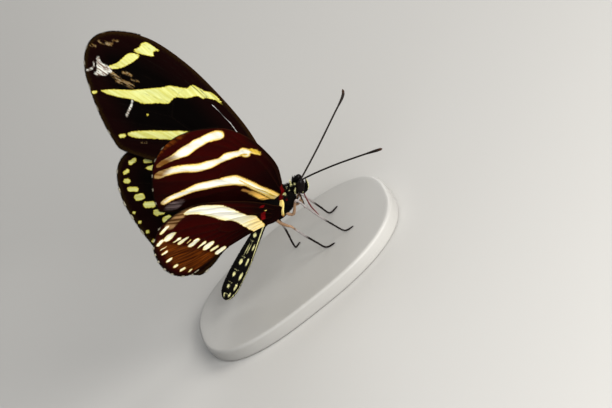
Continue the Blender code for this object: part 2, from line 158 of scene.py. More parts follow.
def capped_faces(rings, around, flip=False):
    """The faces of a closed skin: quads between rings, and a fan from each end ring to a point.

    The two end points come after all the rings' points. flip turns every face over.
    """
    here = np.arange(around)
    after = (here + 1) % around
    last = (rings - 1) * around
    end = np.full(around, rings * around)
    first_fan = np.stack([after, here, end], axis=1)
    last_fan = np.stack([last + here, last + after, end + 1], axis=1)
    faces = [grid_faces(rings, around, wrap=True), first_fan, last_fan]
    return [part[:, ::-1] for part in faces] if flip else faces


def add_piece(name, points, faces, material, replaced=(), values=None, uv_maps=None):
    """One mesh at the origin, of points in millimetres and arrays of faces, that rides on the body.

    values holds a number for each point by attribute name, and uv_maps a place for each by map name.
    """
    mesh = bpy.data.meshes.new(name)
    corners = np.concatenate([f.ravel() for f in faces]).astype(np.int32)
    counts = np.concatenate([np.full(len(f), f.shape[1]) for f in faces])
    mesh.vertices.add(len(points))
    mesh.vertices.foreach_set("co", (points * MM).astype(np.float32).ravel())
    mesh.loops.add(len(corners))
    mesh.loops.foreach_set("vertex_index", corners)
    mesh.polygons.add(len(counts))
    mesh.polygons.foreach_set("loop_start", (np.cumsum(counts) - counts).astype(np.int32))
    mesh.update(calc_edges=True)
    mesh.validate()
    for key, numbers in (values or {}).items():
        mesh.attributes.new(key, "FLOAT", "POINT").data.foreach_set("value", numbers.astype(np.float32))
    for key, places in (uv_maps or {}).items():
        layer = mesh.uv_layers.new(name=key)
        layer.data.foreach_set("uv", places[corners].astype(np.float32).ravel())
    mesh.shade_smooth()
    mesh.materials.append(material)
    piece = bpy.data.objects.new(name, mesh)
    bpy.context.scene.collection.objects.link(piece)
    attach(piece, "root")
    if replaced:
        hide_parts(*replaced)


BASE_SQUARENESS = 2.6
BASE_EDGE = 0.6
BASE_AROUND = 240
BASE_TOP_INSETS = (1.2, 2.5, 5.0, 8.0, 11.0, 14.0)

low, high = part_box("stand_base")
base_length, base_width = (high.x - low.x) / MM, (high.y - low.y) / MM
base_top = high.z / MM


def plate_ring(inset, height):
    """A squarish oval: cos and sin raised to the power 2 / squareness, drawn in by inset."""
    angle = np.linspace(0.0, 2 * np.pi, BASE_AROUND, endpoint=False)
    x = np.sign(np.cos(angle)) * np.abs(np.cos(angle)) ** (2 / BASE_SQUARENESS) * (base_length / 2 - inset)
    y = np.sign(np.sin(angle)) * np.abs(np.sin(angle)) ** (2 / BASE_SQUARENESS) * (base_width / 2 - inset)
    return np.stack([x, y, np.full(BASE_AROUND, height)], axis=1)


# The profile from the middle of the underside round the edge to the middle of
# the top: how far each ring is drawn in, and its height.
quarter_turn = np.linspace(0.0, np.pi / 2, 7)
drawn_in = BASE_EDGE * (1 - np.sin(quarter_turn))
drawn_out = BASE_EDGE * (1 - np.cos(quarter_turn))
plate_profile = [(2 * BASE_EDGE, 0.0), *zip(drawn_in, drawn_out), *zip(drawn_out, base_top - drawn_in)]
plate_profile += [(inset, base_top) for inset in BASE_TOP_INSETS]
plate = np.vstack([plate_ring(inset, height) for inset, height in plate_profile])
plate = np.vstack([plate, [[0.0, 0.0, 0.0], [0.0, 0.0, base_top]]])

plate_finish, flow, give = new_finish("satin_acrylic", roughness=0.42)
mottle = flow.noise(flow.object_place(90.0), detail=4.0)
give("Base Color", mottle.mix((0.37, 0.365, 0.35), (0.42, 0.415, 0.40)))
give("Roughness", mottle * 0.14 + 0.34)
give("Normal", bump(flow, flow.noise(flow.object_place(2400.0), detail=2.0), 0.00002, 0.35))
add_piece("base_plate", plate, capped_faces(len(plate_profile), BASE_AROUND), plate_finish,
          ["stand_base"])

# Wings: four stiff membranes with raised veins, covered in rows of tiny scales.
# Each is one thin sheet with two faces, rooted in the side of the thorax.
# The forewings lean out to a V and the hindwings hang from it, turned upright.

SIDES = (("left", 1), ("right", -1))

# The body's middle point, from which places on the animal are measured: forward,
# to its left and up.
low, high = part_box("thorax")
HUB = np.array((low + high) / 2) / MM + (0.8, 0.0, 0.8)

# Degrees that each wing leans out from upright, and degrees that its length is
# swept back from straight ahead.
FORE_LEAN = {"left": 37.6, "right": 39.2}
HIND_LEAN = {"left": 37.6, "right": 40.0}
FORE_SWEEP = {"left": 103.0, "right": 92.0}
HIND_SWEEP = {"left": 150.0, "right": 136.0}
FORE_HINGE = (1.5, 1.8, 0.8)
HIND_HINGE = (-1.6, 2.3, -0.3)
FORE_LENGTH = 45.0
FORE_CAMBER = 0.7
# Half the height over which the hindwing's plane turns from upright to its lean.
HIND_BEND = 2.0

# Places on a wing laid flat: from the hinge along its length, and across towards
# its front edge. Outlines start at the root's front and run round by the apex.
# The corners count the points up to the apex, the hind corner and the root's rear.
FORE_OUTLINE = ((-1.2, 0.5), (2.1, 1.3), (5.2, 2.5), (11.6, 4.6), (19.0, 5.9), (27.5, 6.6), (35.9, 5.9),
                (41.6, 3.3), (44.5, 0.3), (44.6, -3.0), (41.8, -6.6), (35.2, -10.6), (30.0, -12.7),
                (26.8, -12.9), (18.0, -9.4), (8.0, -4.9), (1.6, -2.0), (-1.2, -1.4))
FORE_CORNERS = (8, 12, 17)
HIND_OUTLINE = ((-1.2, 1.1), (1.0, 2.6), (4.0, 4.8), (9.5, 8.2), (16.5, 11.6), (22.0, 13.3), (25.4, 12.6),
                (27.4, 10.6), (27.9, 7.4), (27.2, 3.6), (25.6, 0.0), (23.6, -3.6), (21.0, -7.2),
                (18.0, -10.2), (15.0, -11.7), (12.6, -10.4), (9.6, -7.6), (6.0, -5.2), (2.4, -3.0),
                (-0.6, -1.6))
HIND_CORNERS = (6, 14, 19)

# The veins, from the root outwards.
FORE_VEINS = {
    "subcosta": ((3.2, 1.3), (12.0, 4.0), (20.0, 5.2), (27.0, 5.7)),
    "radius": ((0.6, 0.3), (6.0, 1.5), (11.5, 2.7), (16.7, 3.6), (21.0, 3.9), (24.8, 4.0)),
    "radius 1": ((16.7, 3.6), (25.0, 4.9), (33.5, 5.5)),
    "radius 2": ((24.8, 4.0), (31.0, 4.4), (38.0, 4.3)),
    "radius stem": ((24.8, 4.0), (30.0, 3.2), (35.2, 2.4)),
    "radius 3": ((35.2, 2.4), (39.0, 2.3), (41.8, 2.0)),
    "radius 4": ((35.2, 2.4), (40.0, 0.4), (43.8, -1.6)),
    "cell end": ((24.8, 4.0), (25.6, 1.6), (25.3, -0.6), (24.0, -2.7)),
    "media 1": ((25.6, 1.6), (34.0, -0.5), (43.2, -4.1)),
    "media 2": ((25.3, -0.6), (33.0, -3.4), (41.2, -6.4)),
    "media 3": ((24.0, -2.7), (31.0, -5.9), (37.6, -8.6)),
    "cubitus": ((0.6, -0.9), (8.0, -1.0), (14.0, -1.3), (19.0, -2.4), (24.0, -2.7)),
    "cubitus 1": ((19.0, -2.4), (27.5, -7.3), (33.6, -10.7)),
    "cubitus 2": ((14.0, -1.3), (22.0, -7.0), (29.0, -11.9)),
    "anal": ((4.0, -2.3), (12.0, -5.6), (19.0, -8.8), (25.8, -11.8)),
}
HIND_VEINS = {
    "subcosta": ((0.8, 1.4), (6.0, 4.8), (14.0, 9.0), (22.6, 12.2)),
    "radius": ((4.6, 2.2), (9.0, 4.6), (16.0, 8.2), (25.8, 11.2)),
    "cell front": ((0.8, 0.2), (4.6, 2.2), (9.6, 3.4), (13.4, 4.2)),
    "media 1": ((13.4, 4.2), (20.0, 6.0), (26.9, 7.2)),
    "media 2": ((13.4, 4.2), (13.2, 2.3), (20.0, 3.0), (26.4, 3.6)),
    "media 3": ((12.2, 0.8), (18.6, 0.4), (24.7, -0.2)),
    "cell rear": ((0.8, -0.7), (5.0, -0.8), (9.4, -0.8), (12.2, 0.8), (13.2, 2.3)),
    "cubitus 1": ((9.4, -0.8), (16.0, -2.2), (22.5, -3.9)),
    "cubitus 2": ((5.0, -0.8), (12.0, -3.6), (19.7, -7.4)),
    "anal": ((2.4, -1.6), (9.0, -4.8), (16.6, -9.6)),
}

# Pale bands as smooth outlines, and spots as short strokes: start, end, radius.
# UPPER and UNDER are the wing's two faces.
FORE_UPPER_BANDS = (
    ((37.4, 2.3), (36.9, 3.4), (37.0, 4.2), (36.2, 5.0), (34.3, 5.2), (33.5, 5.2), (34.3, 4.5), (33.8, 3.9),
     (34.0, 3.6), (34.9, 3.1), (35.9, 2.6)),
    ((37.9, 1.0), (37.0, 1.9), (35.9, 2.2), (36.0, 1.0), (36.5, -0.3), (37.2, -1.6), (38.5, -2.9),
     (39.3, -2.9), (38.7, -2.0), (38.2, -0.8)),
    ((37.5, -7.2), (35.9, -5.7), (33.2, -3.7), (30.7, -1.4), (28.9, 0.3), (28.0, 1.4), (26.6, 2.2),
     (25.1, 3.1), (24.6, 4.2), (23.3, 4.6), (22.1, 4.8), (21.1, 5.3), (19.5, 5.4), (18.0, 5.0), (19.4, 4.8),
     (20.9, 4.1), (21.6, 3.5), (22.7, 3.2), (23.8, 1.8), (25.7, 0.5), (26.1, -1.2), (27.7, -2.4),
     (29.7, -4.1), (31.8, -4.8), (34.2, -6.1), (36.0, -6.9)),
    ((28.6, -10.3), (27.8, -9.1), (25.6, -7.2), (22.9, -5.1), (20.5, -3.3), (18.0, -2.0), (12.0, -0.9),
     (4.0, -0.5), (-1.0, -0.8), (4.0, -1.9), (12.0, -2.5), (17.0, -3.4), (21.1, -5.8), (24.7, -8.3),
     (27.1, -10.0)),
)
FORE_UPPER_SPOTS = (((38.2, -8.1), (38.6, -8.5), 0.25), ((28.9, -10.9), (29.4, -11.5), 0.3),
                    ((27.8, -5.3), (27.8, -5.2), 0.16))
FORE_UNDER_BANDS = (
    ((41.7, -5.9), (41.4, -4.6), (40.7, -1.9), (40.3, 0.4), (39.5, 2.2), (38.7, 3.3), (38.0, 4.5),
     (36.5, 5.1), (35.2, 5.0), (34.3, 4.3), (34.6, 3.5), (35.7, 2.8), (36.6, 2.0), (36.7, 1.0), (37.0, 0.0),
     (37.4, -1.5), (38.5, -2.9), (39.5, -4.3), (40.7, -6.1)),
    ((39.6, -7.6), (39.2, -6.5), (38.0, -4.9), (35.6, -3.6), (32.6, -2.1), (31.3, -0.9), (29.7, 0.6),
     (29.2, 1.9), (28.1, 2.9), (27.1, 3.7), (27.0, 4.3), (25.1, 4.7), (23.8, 5.0), (22.7, 5.4), (20.8, 5.2),
     (19.8, 4.9), (20.9, 4.7), (22.9, 4.3), (22.4, 3.6), (23.0, 3.1), (24.9, 2.8), (26.1, 1.8), (26.8, 1.0),
     (27.6, -0.6), (29.0, -2.2), (30.4, -3.4), (33.5, -4.8), (36.4, -6.6), (37.3, -7.7), (38.6, -8.2)),
    ((30.5, -11.5), (29.6, -8.7), (28.5, -7.3), (27.1, -5.7), (25.4, -4.2), (23.2, -2.6), (20.9, -1.4),
     (19.0, -0.7), (14.9, -0.45), (8.5, -0.4), (2.2, -0.3), (-1.4, -0.6), (-1.2, -1.7), (1.1, -1.8),
     (6.2, -1.75), (13.3, -1.7), (15.7, -2.1), (17.4, -2.5), (20.5, -4.1), (23.1, -5.5), (25.0, -6.9),
     (26.6, -8.4), (28.3, -10.2), (29.4, -11.8)),
)
FORE_UNDER_SPOTS = (((40.8, -8.0), (41.1, -8.3), 0.18),)
FORE_GOLD = (((17.3, -1.25), (10.0, -1.2), 0.1), ((10.0, -1.2), (4.0, -1.0), 0.13),
             ((4.0, -1.0), (1.4, -1.1), 0.2), ((24.2, 4.85), (20.8, 5.1), 0.3),
             ((25.0, 3.1), (23.6, 3.7), 0.22))
FORE_SALMON = (((12.9, -2.7), (9.9, -2.4), 0.18), ((9.9, -2.4), (2.0, -2.4), 0.38))
FORE_RED = (((3.1, 1.5), (-1.0, -0.1), 0.34),)
HIND_RED = (((4.4, 3.9), (3.9, 3.8), 0.36), ((2.95, 1.2), (2.35, -0.5), 0.42))
HIND_UPPER_BANDS = (
    ((22.4, 9.3), (20.3, 9.7), (17.4, 9.6), (14.2, 8.4), (10.6, 5.8), (7.2, 3.0), (4.4, 0.8), (2.0, -2.0),
     (2.6, -3.6), (4.4, -3.0), (6.6, -1.2), (9.4, 1.4), (12.6, 3.8), (15.6, 5.8), (18.4, 7.6), (20.4, 8.4)),
)
HIND_UPPER_SPOTS = (
    ((22.2, 10.6), (21.2, 10.6), 0.42), ((25.1, 10.7), (24.3, 11.1), 0.4), ((26.4, 9.0), (25.8, 9.3), 0.32),
    ((26.4, 7.5), (26.0, 7.4), 0.45), ((25.9, 5.9), (24.6, 5.7), 0.42), ((24.6, 4.2), (23.8, 4.2), 0.6),
    ((23.1, 2.6), (21.9, 2.5), 0.58), ((21.4, 0.9), (20.3, 1.0), 0.58), ((19.9, -0.6), (19.2, -0.4), 0.52),
    ((18.2, -2.1), (17.2, -1.8), 0.5), ((16.2, -3.5), (15.2, -3.1), 0.48), ((14.1, -4.8), (13.2, -4.4), 0.45),
    ((12.1, -6.0), (11.2, -5.6), 0.42), ((10.2, -7.0), (9.4, -6.6), 0.38),
    ((25.7, 1.5), (25.6, 1.5), 0.26), ((24.8, -0.4), (24.7, -0.4), 0.28), ((23.6, -2.4), (23.5, -2.3), 0.3),
    ((22.7, -4.2), (22.6, -4.1), 0.28), ((20.9, -6.9), (20.8, -6.8), 0.3), ((18.4, -9.1), (18.3, -9.0), 0.3),
    ((15.9, -10.6), (15.8, -10.5), 0.28),
)
HIND_UNDER_BANDS = (
    ((23.4, 11.7), (22.6, 12.6), (20.2, 12.3), (17.6, 11.2), (14.9, 9.8), (13.4, 8.6), (10.6, 6.0),
     (7.2, 3.0), (4.7, 1.2), (3.4, -0.3), (1.8, -2.2), (1.7, -3.2), (2.6, -4.0), (4.2, -3.2), (6.2, -1.3),
     (8.6, 1.2), (10.7, 2.9), (13.4, 4.7), (16.3, 7.1), (19.3, 9.4), (21.0, 10.2), (22.8, 11.0)),
)
HIND_UNDER_SPOTS = (
    ((26.0, 8.8), (26.7, 7.8), 0.52), ((24.2, 5.5), (24.4, 4.9), 1.03), ((21.9, 3.4), (22.6, 2.9), 0.40),
    ((20.3, 2.4), (20.9, 1.8), 0.74), ((18.7, 1.1), (19.2, 0.7), 0.13), ((17.3, 0.1), (17.8, -0.6), 0.86),
    ((14.9, -1.6), (15.8, -2.4), 0.42), ((13.1, -3.0), (13.7, -3.7), 0.79),
    ((11.1, -5.0), (11.9, -5.6), 0.41), ((9.4, -6.5), (10.0, -7.1), 0.77), ((7.7, -7.0), (8.6, -7.7), 0.38),
    ((25.9, 4.5), (26.3, 4.1), 0.57), ((24.1, 1.8), (25.0, 1.5), 0.20), ((23.6, 0.4), (24.3, 0.0), 0.28),
    ((21.7, -3.1), (22.2, -3.3), 0.40), ((19.4, -6.4), (19.7, -6.5), 0.40),
    ((17.1, -8.7), (17.5, -8.9), 0.42), ((15.1, -10.1), (15.3, -10.4), 0.31),
    ((13.0, -11.2), (13.4, -11.4), 0.31), ((2.5, 1.8), (2.6, 1.8), 0.15),
)
# Fields of another ground colour: brown towards the margins, and the pale tan and grey corners where the
# right hindwing slides under the forewing. The tan is a painted highlight, where light catches a fold in the
# hindwing.
FORE_BROWN = (((46.5, 4.0), (43.9, 4.2), (43.2, 1.0), (43.9, -2.0), (43.5, -5.5), (41.2, -8.6),
               (46.5, -8.0)),)
HIND_BROWN = (((26.6, 5.4), (24.4, 3.6), (21.7, 1.4), (18.4, -1.3), (14.6, -4.3), (10.5, -7.9),
               (11.3, -10.0), (12.9, -10.7), (14.9, -10.2), (17.4, -8.7), (20.2, -5.5), (22.5, -2.3),
               (24.6, 1.2), (26.2, 3.4)),)
HIND_TAN = (((25.4, 12.9), (22.8, 13.8), (21.9, 12.6), (22.9, 11.3), (23.7, 9.5), (24.7, 7.8), (26.4, 9.3),
             (26.2, 11.4)),)
FORE_GREY = (((27.2, -12.6), (28.4, -11.4), (26.4, -9.6), (24.9, -9.7), (24.7, -11.2), (25.4, -12.3)),)
# Marks on the left forewing's upper face. Wear: bare patches and strokes where the scales are gone, and
# scuffs where some are. A painted highlight: bright lines where light glints along a vein, and the dark lines
# between.
WORN_PATCHES = (
    ((42.1, -2.9), (41.6, -2.7), (40.9, -3.2), (39.1, -2.9), (38.2, -3.2), (38.5, -4.1), (38.7, -4.6),
     (39.3, -5.1), (40.5, -5.7), (40.5, -5.0), (41.1, -4.2)),
)
# Painted highlights: thin bright lines where light glints along a vein.
VEIN_GLINTS = (((19.4, 3.75), (14.8, 3.35), 0.0), ((14.8, 3.35), (11.0, 2.45), 0.0))
VEIN_LINES = (((25.3, 4.15), (20.2, 3.85), 0.0), ((24.3, 4.7), (21.0, 4.2), 0.0))
WORN_STROKES = (((42.0, -4.0), (41.5, -4.6), 0.09), ((41.5, -4.6), (41.4, -5.2), 0.12),
                ((41.5, -5.3), (42.0, -6.0), 0.18), ((31.8, -4.9), (31.4, -5.7), 0.14),
                ((31.4, -5.7), (30.8, -7.8), 0.2))
SCUFFS = (((43.5, -0.4), (41.4, 0.5), 0.3), ((41.6, 1.3), (40.8, 1.8), 0.14),
          ((44.4, -1.9), (43.6, -1.6), 0.2), ((36.4, -2.0), (34.8, -1.5), 0.24),
          ((37.9, -3.5), (36.2, -3.5), 0.45), ((36.3, -3.8), (33.4, -2.9), 0.42),
          ((34.3, -2.2), (33.0, -1.5), 0.12), ((25.5, -9.9), (24.7, -9.3), 0.12))


def smooth_line(points, closed=False, per_span=12):
    """A smooth curve through points: at each, the cubics of both spans run along its neighbours' chord."""
    p = np.array(points, float)
    count = len(p)
    index = np.arange(count if closed else count - 1)
    pick = (lambda i: p[i % count]) if closed else (lambda i: p[np.clip(i, 0, count - 1)])
    a, b, c, d = (pick(index + k)[:, None] for k in (-1, 0, 1, 2))
    t = np.linspace(0.0, 1.0, per_span, endpoint=False)[None, :, None]
    terms = (2 * b, c - a, 2 * a - 5 * b + 4 * c - d, 3 * b - a - 3 * c + d)
    curve = 0.5 * sum(term * t ** power for power, term in enumerate(terms))
    curve = curve.reshape(-1, p.shape[1])
    return curve if closed else np.vstack([curve, p[-1:]])


def run_along(line):
    """The distance along a line from its start to each of its points."""
    return np.concatenate([[0.0], np.cumsum(np.linalg.norm(np.diff(line, axis=0), axis=1))])


def spaced(line, count):
    """count points at equal distances along a line."""
    run = run_along(line)
    stops = np.linspace(0.0, run[-1], count)
    return np.stack([np.interp(stops, run, column) for column in line.T], axis=1)


def line_distance(points, line):
    """Shortest distance from each point to a chain of straight segments."""
    a, along = line[:-1], np.diff(line, axis=0)
    share = np.einsum("psk,sk->ps", points[:, None] - a, along) / np.maximum((along ** 2).sum(1), 1e-9)
    nearest = a + np.clip(share, 0.0, 1.0)[..., None] * along
    return np.sqrt(((points[:, None] - nearest) ** 2).sum(2).min(1))


def loop_distance(points, loop):
    """Distance to a closed loop's edge, below zero inside, where a ray crosses it an odd number of times."""
    closed = np.vstack([loop, loop[:1]])
    a, b = closed[:-1], closed[1:]
    x, y = points[:, :1], points[:, 1:]
    spans = (a[:, 1] > y) != (b[:, 1] > y)
    rise = np.where(b[:, 1] == a[:, 1], 1.0, b[:, 1] - a[:, 1])
    crossings = (spans & (x < a[:, 0] + (y - a[:, 1]) * (b[:, 0] - a[:, 0]) / rise)).sum(1)
    return line_distance(points, closed) * np.where(crossings % 2, -1.0, 1.0)


# Further from any mark than a finish can tell.
FAR = 9.0


def marks_distance(points, bands=(), strokes=()):
    """Distance to the nearest of some outlined bands and round-ended strokes, below zero inside them."""
    best = np.full(len(points), FAR)
    for band in bands:
        best = np.minimum(best, loop_distance(points, smooth_line(band, closed=True, per_span=5)))
    for start, end, radius in strokes:
        best = np.minimum(best, line_distance(points, np.array([start, end], float)) - radius)
    return best


OUTLINE_STEPS = 12


def wing_plan(outline, corners, cells):
    """The wing laid flat as a grid: rows from root to margin, columns from the rear to the front edge.

    A point is the blend of rear and front edge, plus that of root and margin, less that of the corners.
    """
    curve = smooth_line(outline, closed=True, per_span=OUTLINE_STEPS)
    apex, heel, rear = (OUTLINE_STEPS * corner for corner in corners)
    rows, columns = cells
    front = spaced(curve[:apex + 1], rows)
    margin = spaced(curve[apex:heel + 1][::-1], columns)
    back = spaced(curve[heel:rear + 1][::-1], rows)
    root = spaced(np.vstack([curve[rear:], curve[:1]]), columns)
    u = np.linspace(0.0, 1.0, rows)[:, None, None]
    v = np.linspace(0.0, 1.0, columns)[None, :, None]
    ruled = (1 - v) * back[:, None] + v * front[:, None] + (1 - u) * root[None] + u * margin[None]
    twist = ((1 - u) * ((1 - v) * back[0] + v * front[0]) + u * ((1 - v) * back[-1] + v * front[-1]))
    return (ruled - twist).reshape(-1, 2)


def fore_place(side, lean, sweep):
    """Puts a flat forewing in its leaning plane, bowed by a shallow parabola along its length."""
    lean, turn = math.radians(lean), math.radians(sweep)
    outward = np.array([0.0, side * math.sin(lean), math.cos(lean)])
    ahead = np.array([1.0, 0.0, 0.0])
    along = math.cos(turn) * ahead + math.sin(turn) * outward
    across = math.sin(turn) * ahead - math.cos(turn) * outward
    normal = np.array([0.0, side * math.cos(lean), -math.sin(lean)])
    hinge = HUB + (FORE_HINGE[0], side * FORE_HINGE[1], FORE_HINGE[2])

    def place(flat, height):
        share = np.clip(flat[:, 0] / FORE_LENGTH, 0.0, 1.0)
        bow = FORE_CAMBER * (4 * share * (1 - share) - 1)
        return hinge + flat[:, :1] * along + flat[:, 1:] * across + (height + bow)[:, None] * normal
    return place


def hind_place(side, lean, sweep):
    """Puts a flat hindwing in its leaning plane, which turns upright along an arc at the hinge."""
    lean, turn = math.radians(lean), math.radians(sweep)
    rate = lean / (2 * HIND_BEND)
    hinge = HUB + (HIND_HINGE[0], side * HIND_HINGE[1], HIND_HINGE[2])

    def place(flat, height):
        ahead = flat[:, 0] * math.cos(turn) + flat[:, 1] * math.sin(turn)
        out = flat[:, 0] * math.sin(turn) - flat[:, 1] * math.cos(turn)
        angle = np.clip(rate * (out + HIND_BEND), 0.0, lean)
        arc = rate * (np.clip(out, -HIND_BEND, HIND_BEND) + HIND_BEND)
        past = np.maximum(out, HIND_BEND)
        y = math.sin(lean) * past - (np.cos(arc) - math.cos(lean)) / rate
        z = math.cos(lean) * past - (math.sin(lean) - np.sin(arc)) / rate + np.minimum(out + HIND_BEND, 0.0)
        spot = np.stack([ahead, side * (y + np.cos(angle) * height), z - np.sin(angle) * height], axis=1)
        return hinge + spot
    return place


MEMBRANE_HALF = 0.035
VEIN_RISE = 0.10
PLEAT_DEPTH = 0.16
PLEAT_REACH = 0.9
RIPPLE_DEPTH = 0.05


def membrane_height(flat, vein_gap, edge_gap):
    """Half the membrane's thickness, and the height of its middle.

    It is a thin skin with a bell-shaped ridge on each vein, weaker towards the tip. Between the veins
    it sinks by a bell curve's depth, and a slow wave ripples it. Towards the edge it thins and flattens.
    """
    strong = np.clip(1.15 - flat[:, 0] / 60.0, 0.35, 1.0)
    half = MEMBRANE_HALF + VEIN_RISE * strong * np.exp(-(vein_gap / (0.10 + 0.10 * strong)) ** 2)
    half = half * np.clip(0.35 + edge_gap / 0.35, 0.35, 1.0)
    pleat = -PLEAT_DEPTH * (1.0 - np.exp(-(vein_gap / PLEAT_REACH) ** 2)) * np.clip(edge_gap / 1.5, 0.0, 1.0)
    wave = np.sin(flat[:, 0] * 0.9 + 1.7 * np.sin(flat[:, 1] * 0.5))
    return half, pleat + RIPPLE_DEPTH * wave * np.clip(edge_gap / 2.0, 0.0, 1.0)


def wing_finish():
    """Scale-covered membrane: velvet black above and maroon-brown below, with pale bands and worn patches.

    Each mask is 1 on its mark and 0 off it, and colours are laid over each other by their masks.
    """
    material, flow, give = new_finish("wing_scales", roughness=0.85, specular=0.012)
    under = flow.attribute("under")
    along = flow.attribute("along")
    edge = flow.attribute("edge")
    costa = flow.attribute("costa")

    # Rows of scales, streaks that fan out from the root, and the ragged noise at the
    # edge of every mark.
    map_place = flow.node("ShaderNodeUVMap", {"uv_map": "wing"})
    ray_place = flow.node("ShaderNodeUVMap", {"uv_map": "rays"})
    rows = flow.stretched(map_place, (520.0, 900.0, 1.0))
    flat_cells, row_place = {"voronoi_dimensions": "2D"}, {"Vector": rows, "Scale": 1.0}
    scales = flow.node("ShaderNodeTexVoronoi", flat_cells, row_place, "Color")
    grain = flow.node("ShaderNodeSeparateColor", inputs={0: scales}, output="Red")
    shingle = flow.node("ShaderNodeTexVoronoi", flat_cells, row_place, "Distance")
    broad = flow.noise(flow.object_place(160.0), detail=3.0)
    streak = flow.noise(flow.stretched(ray_place, (7.0, 60.0, 1.0)), detail=3.0).fade(0.36, 0.64)
    dashes = flow.noise(flow.stretched(ray_place, (30.0, 150.0, 1.0)), detail=3.0, roughness=0.65)
    fray = (flow.noise(flow.stretched(map_place, (110.0, 260.0, 1.0)), roughness=0.65) - 0.5) * 1.1
    ragged = fray + (grain - 0.5) * 0.14

    def marked(key, rough, start, end):
        """The mask of the marks of that name, from their distance, made rough by the ragged noise."""
        return (flow.attribute(key) + ragged * rough).fade(start, end)

    # The upper face: velvet black, redder towards the margin and brown at its rim.
    upper_ground = broad.mix((0.0006, 0.0004, 0.0004), (0.0016, 0.0009, 0.0007))
    upper_ground = (edge.fade(6.0, 1.0) * 0.5).mix(upper_ground, (0.0095, 0.0012, 0.0012))
    worn_rim = (edge + ragged * 1.5).fade(0.9, 0.1) * 0.5
    upper_ground = worn_rim.mix(upper_ground, (0.022, 0.012, 0.0020))

    # The underside: maroon, with brown rays, the grey corner, the tan painted highlight of a fold, and a dark
    # edge and root.
    under_dark = broad.mix((0.0012, 0.0003, 0.0003), (0.0060, 0.0004, 0.0004))
    under_red = broad.mix((0.018, 0.0006, 0.0004), (0.034, 0.0010, 0.0005))
    under_ground = flow.attribute("warm").mix(under_dark, under_red)
    rays = streak.mix((0.030, 0.006, 0.0008), (0.180, 0.042, 0.0034))
    brown = marked("brown", 1.6, 0.7, -0.5) * 0.92
    under_ground = brown.mix(under_ground, rays)
    # The tan patch is a painted highlight on a fold of the right hindwing.
    tan = marked("tan", 1.2, 0.4, -0.3) * 0.9
    under_ground = tan.mix(under_ground, streak.mix((0.085, 0.035, 0.008), (0.42, 0.24, 0.10)))
    grey = marked("grey", 1.2, 0.4, -0.4) * 0.85
    under_ground = grey.mix(under_ground, streak.mix((0.030, 0.020, 0.020), (0.19, 0.14, 0.14)))
    dark_edge = (edge + ragged).fade(1.0, 0.25) * along.fade(31.0, 26.0) * 0.85
    under_ground = dark_edge.mix(under_ground, (0.0050, 0.0016, 0.0008))
    under_ground = (along.fade(7.0, 3.5) * 0.9).mix(under_ground, (0.0022, 0.0008, 0.0008))
    ground = under.mix(upper_ground, under_ground)
    ground = (grain * 0.18).mix(ground, under.mix((0.003, 0.0020, 0.0015), (0.030, 0.002, 0.0010)))

    # The pale bands: yellow above, and cream with nearly white middles below, where
    # the forewing's outer ends turn brown. Their rims are gold.
    upper_pale = streak.mix((0.50, 0.49, 0.11), (0.61, 0.64, 0.25))
    under_pale = streak.mix((0.86, 0.80, 0.40), (0.97, 0.96, 0.80))
    brown_end = (along.fade(35.0, 40.0) * 2.6 + 3.4 - edge).fade(0.0, 3.4) * along.fade(27.6, 30.5)
    brown_end = brown_end * costa.fade(3.0, 6.5)
    under_pale = brown_end.mix(under_pale, streak.mix((0.20, 0.080, 0.010), (0.50, 0.32, 0.11)))
    root_gold = streak.mix((0.80, 0.52, 0.12), (0.94, 0.78, 0.32))
    under_pale = (along.fade(8.0, 2.0) * 0.95).mix(under_pale, root_gold)
    pale = under.mix(upper_pale, under_pale)
    brown_end = brown_end * under
    pale = (grain * (0.2 - brown_end * 0.18)).mix(pale, under.mix((0.70, 0.71, 0.38), (0.97, 0.94, 0.74)))
    band_gap = flow.attribute("pale") + ragged * 0.55
    band = band_gap.fade(0.07, -0.07) * (1.0 - brown_end * 0.35)
    rim_width = flow.attribute("rim")
    rim = band_gap.fade(rim_width * 0.22 + 0.06, -0.12) * (1.0 - brown_end * 0.8)
    colour = (rim * 0.85).mix(ground, under.mix((0.26, 0.18, 0.010), (0.34, 0.14, 0.010)))
    core = band_gap.fade(-0.02, rim_width * -0.55 - 0.06).larger(brown_end)
    pale = core.mix(under.mix((0.60, 0.52, 0.07), (0.88, 0.60, 0.12)), pale)
    white = band_gap.fade(-0.3, -0.8) * along.fade(6.0, 12.0) * (1.0 - brown_end) * under
    pale = (white * 0.75).mix(pale, (0.99, 0.98, 0.92))
    colour = band.mix(colour, pale)

    # The small marks, the veins and the front edge.
    salmon = along.fade(12.0, 6.0).mix((0.38, 0.18, 0.045), (0.94, 0.56, 0.12))
    colour = marked("salmon", 0.5, 0.25, -0.15).mix(colour, salmon)
    gold = streak.mix((0.62, 0.39, 0.025), (0.92, 0.68, 0.11))
    colour = marked("gold", 0.3, 0.08, -0.08).mix(colour, gold)
    vein = flow.attribute("vein").fade(0.11, 0.03) * (0.5 - band * (under * 0.22 + 0.16))
    colour = vein.mix(colour, under.mix((0.006, 0.004, 0.003), (0.022, 0.006, 0.002)))
    red = grain.mix((0.085, 0.001, 0.002), (0.17, 0.004, 0.005))
    colour = marked("red", 0.5, 0.1, -0.1).mix(colour, red)
    colour = (costa.fade(0.2, 0.08) * 0.55).mix(colour, (0.040, 0.014, 0.005))

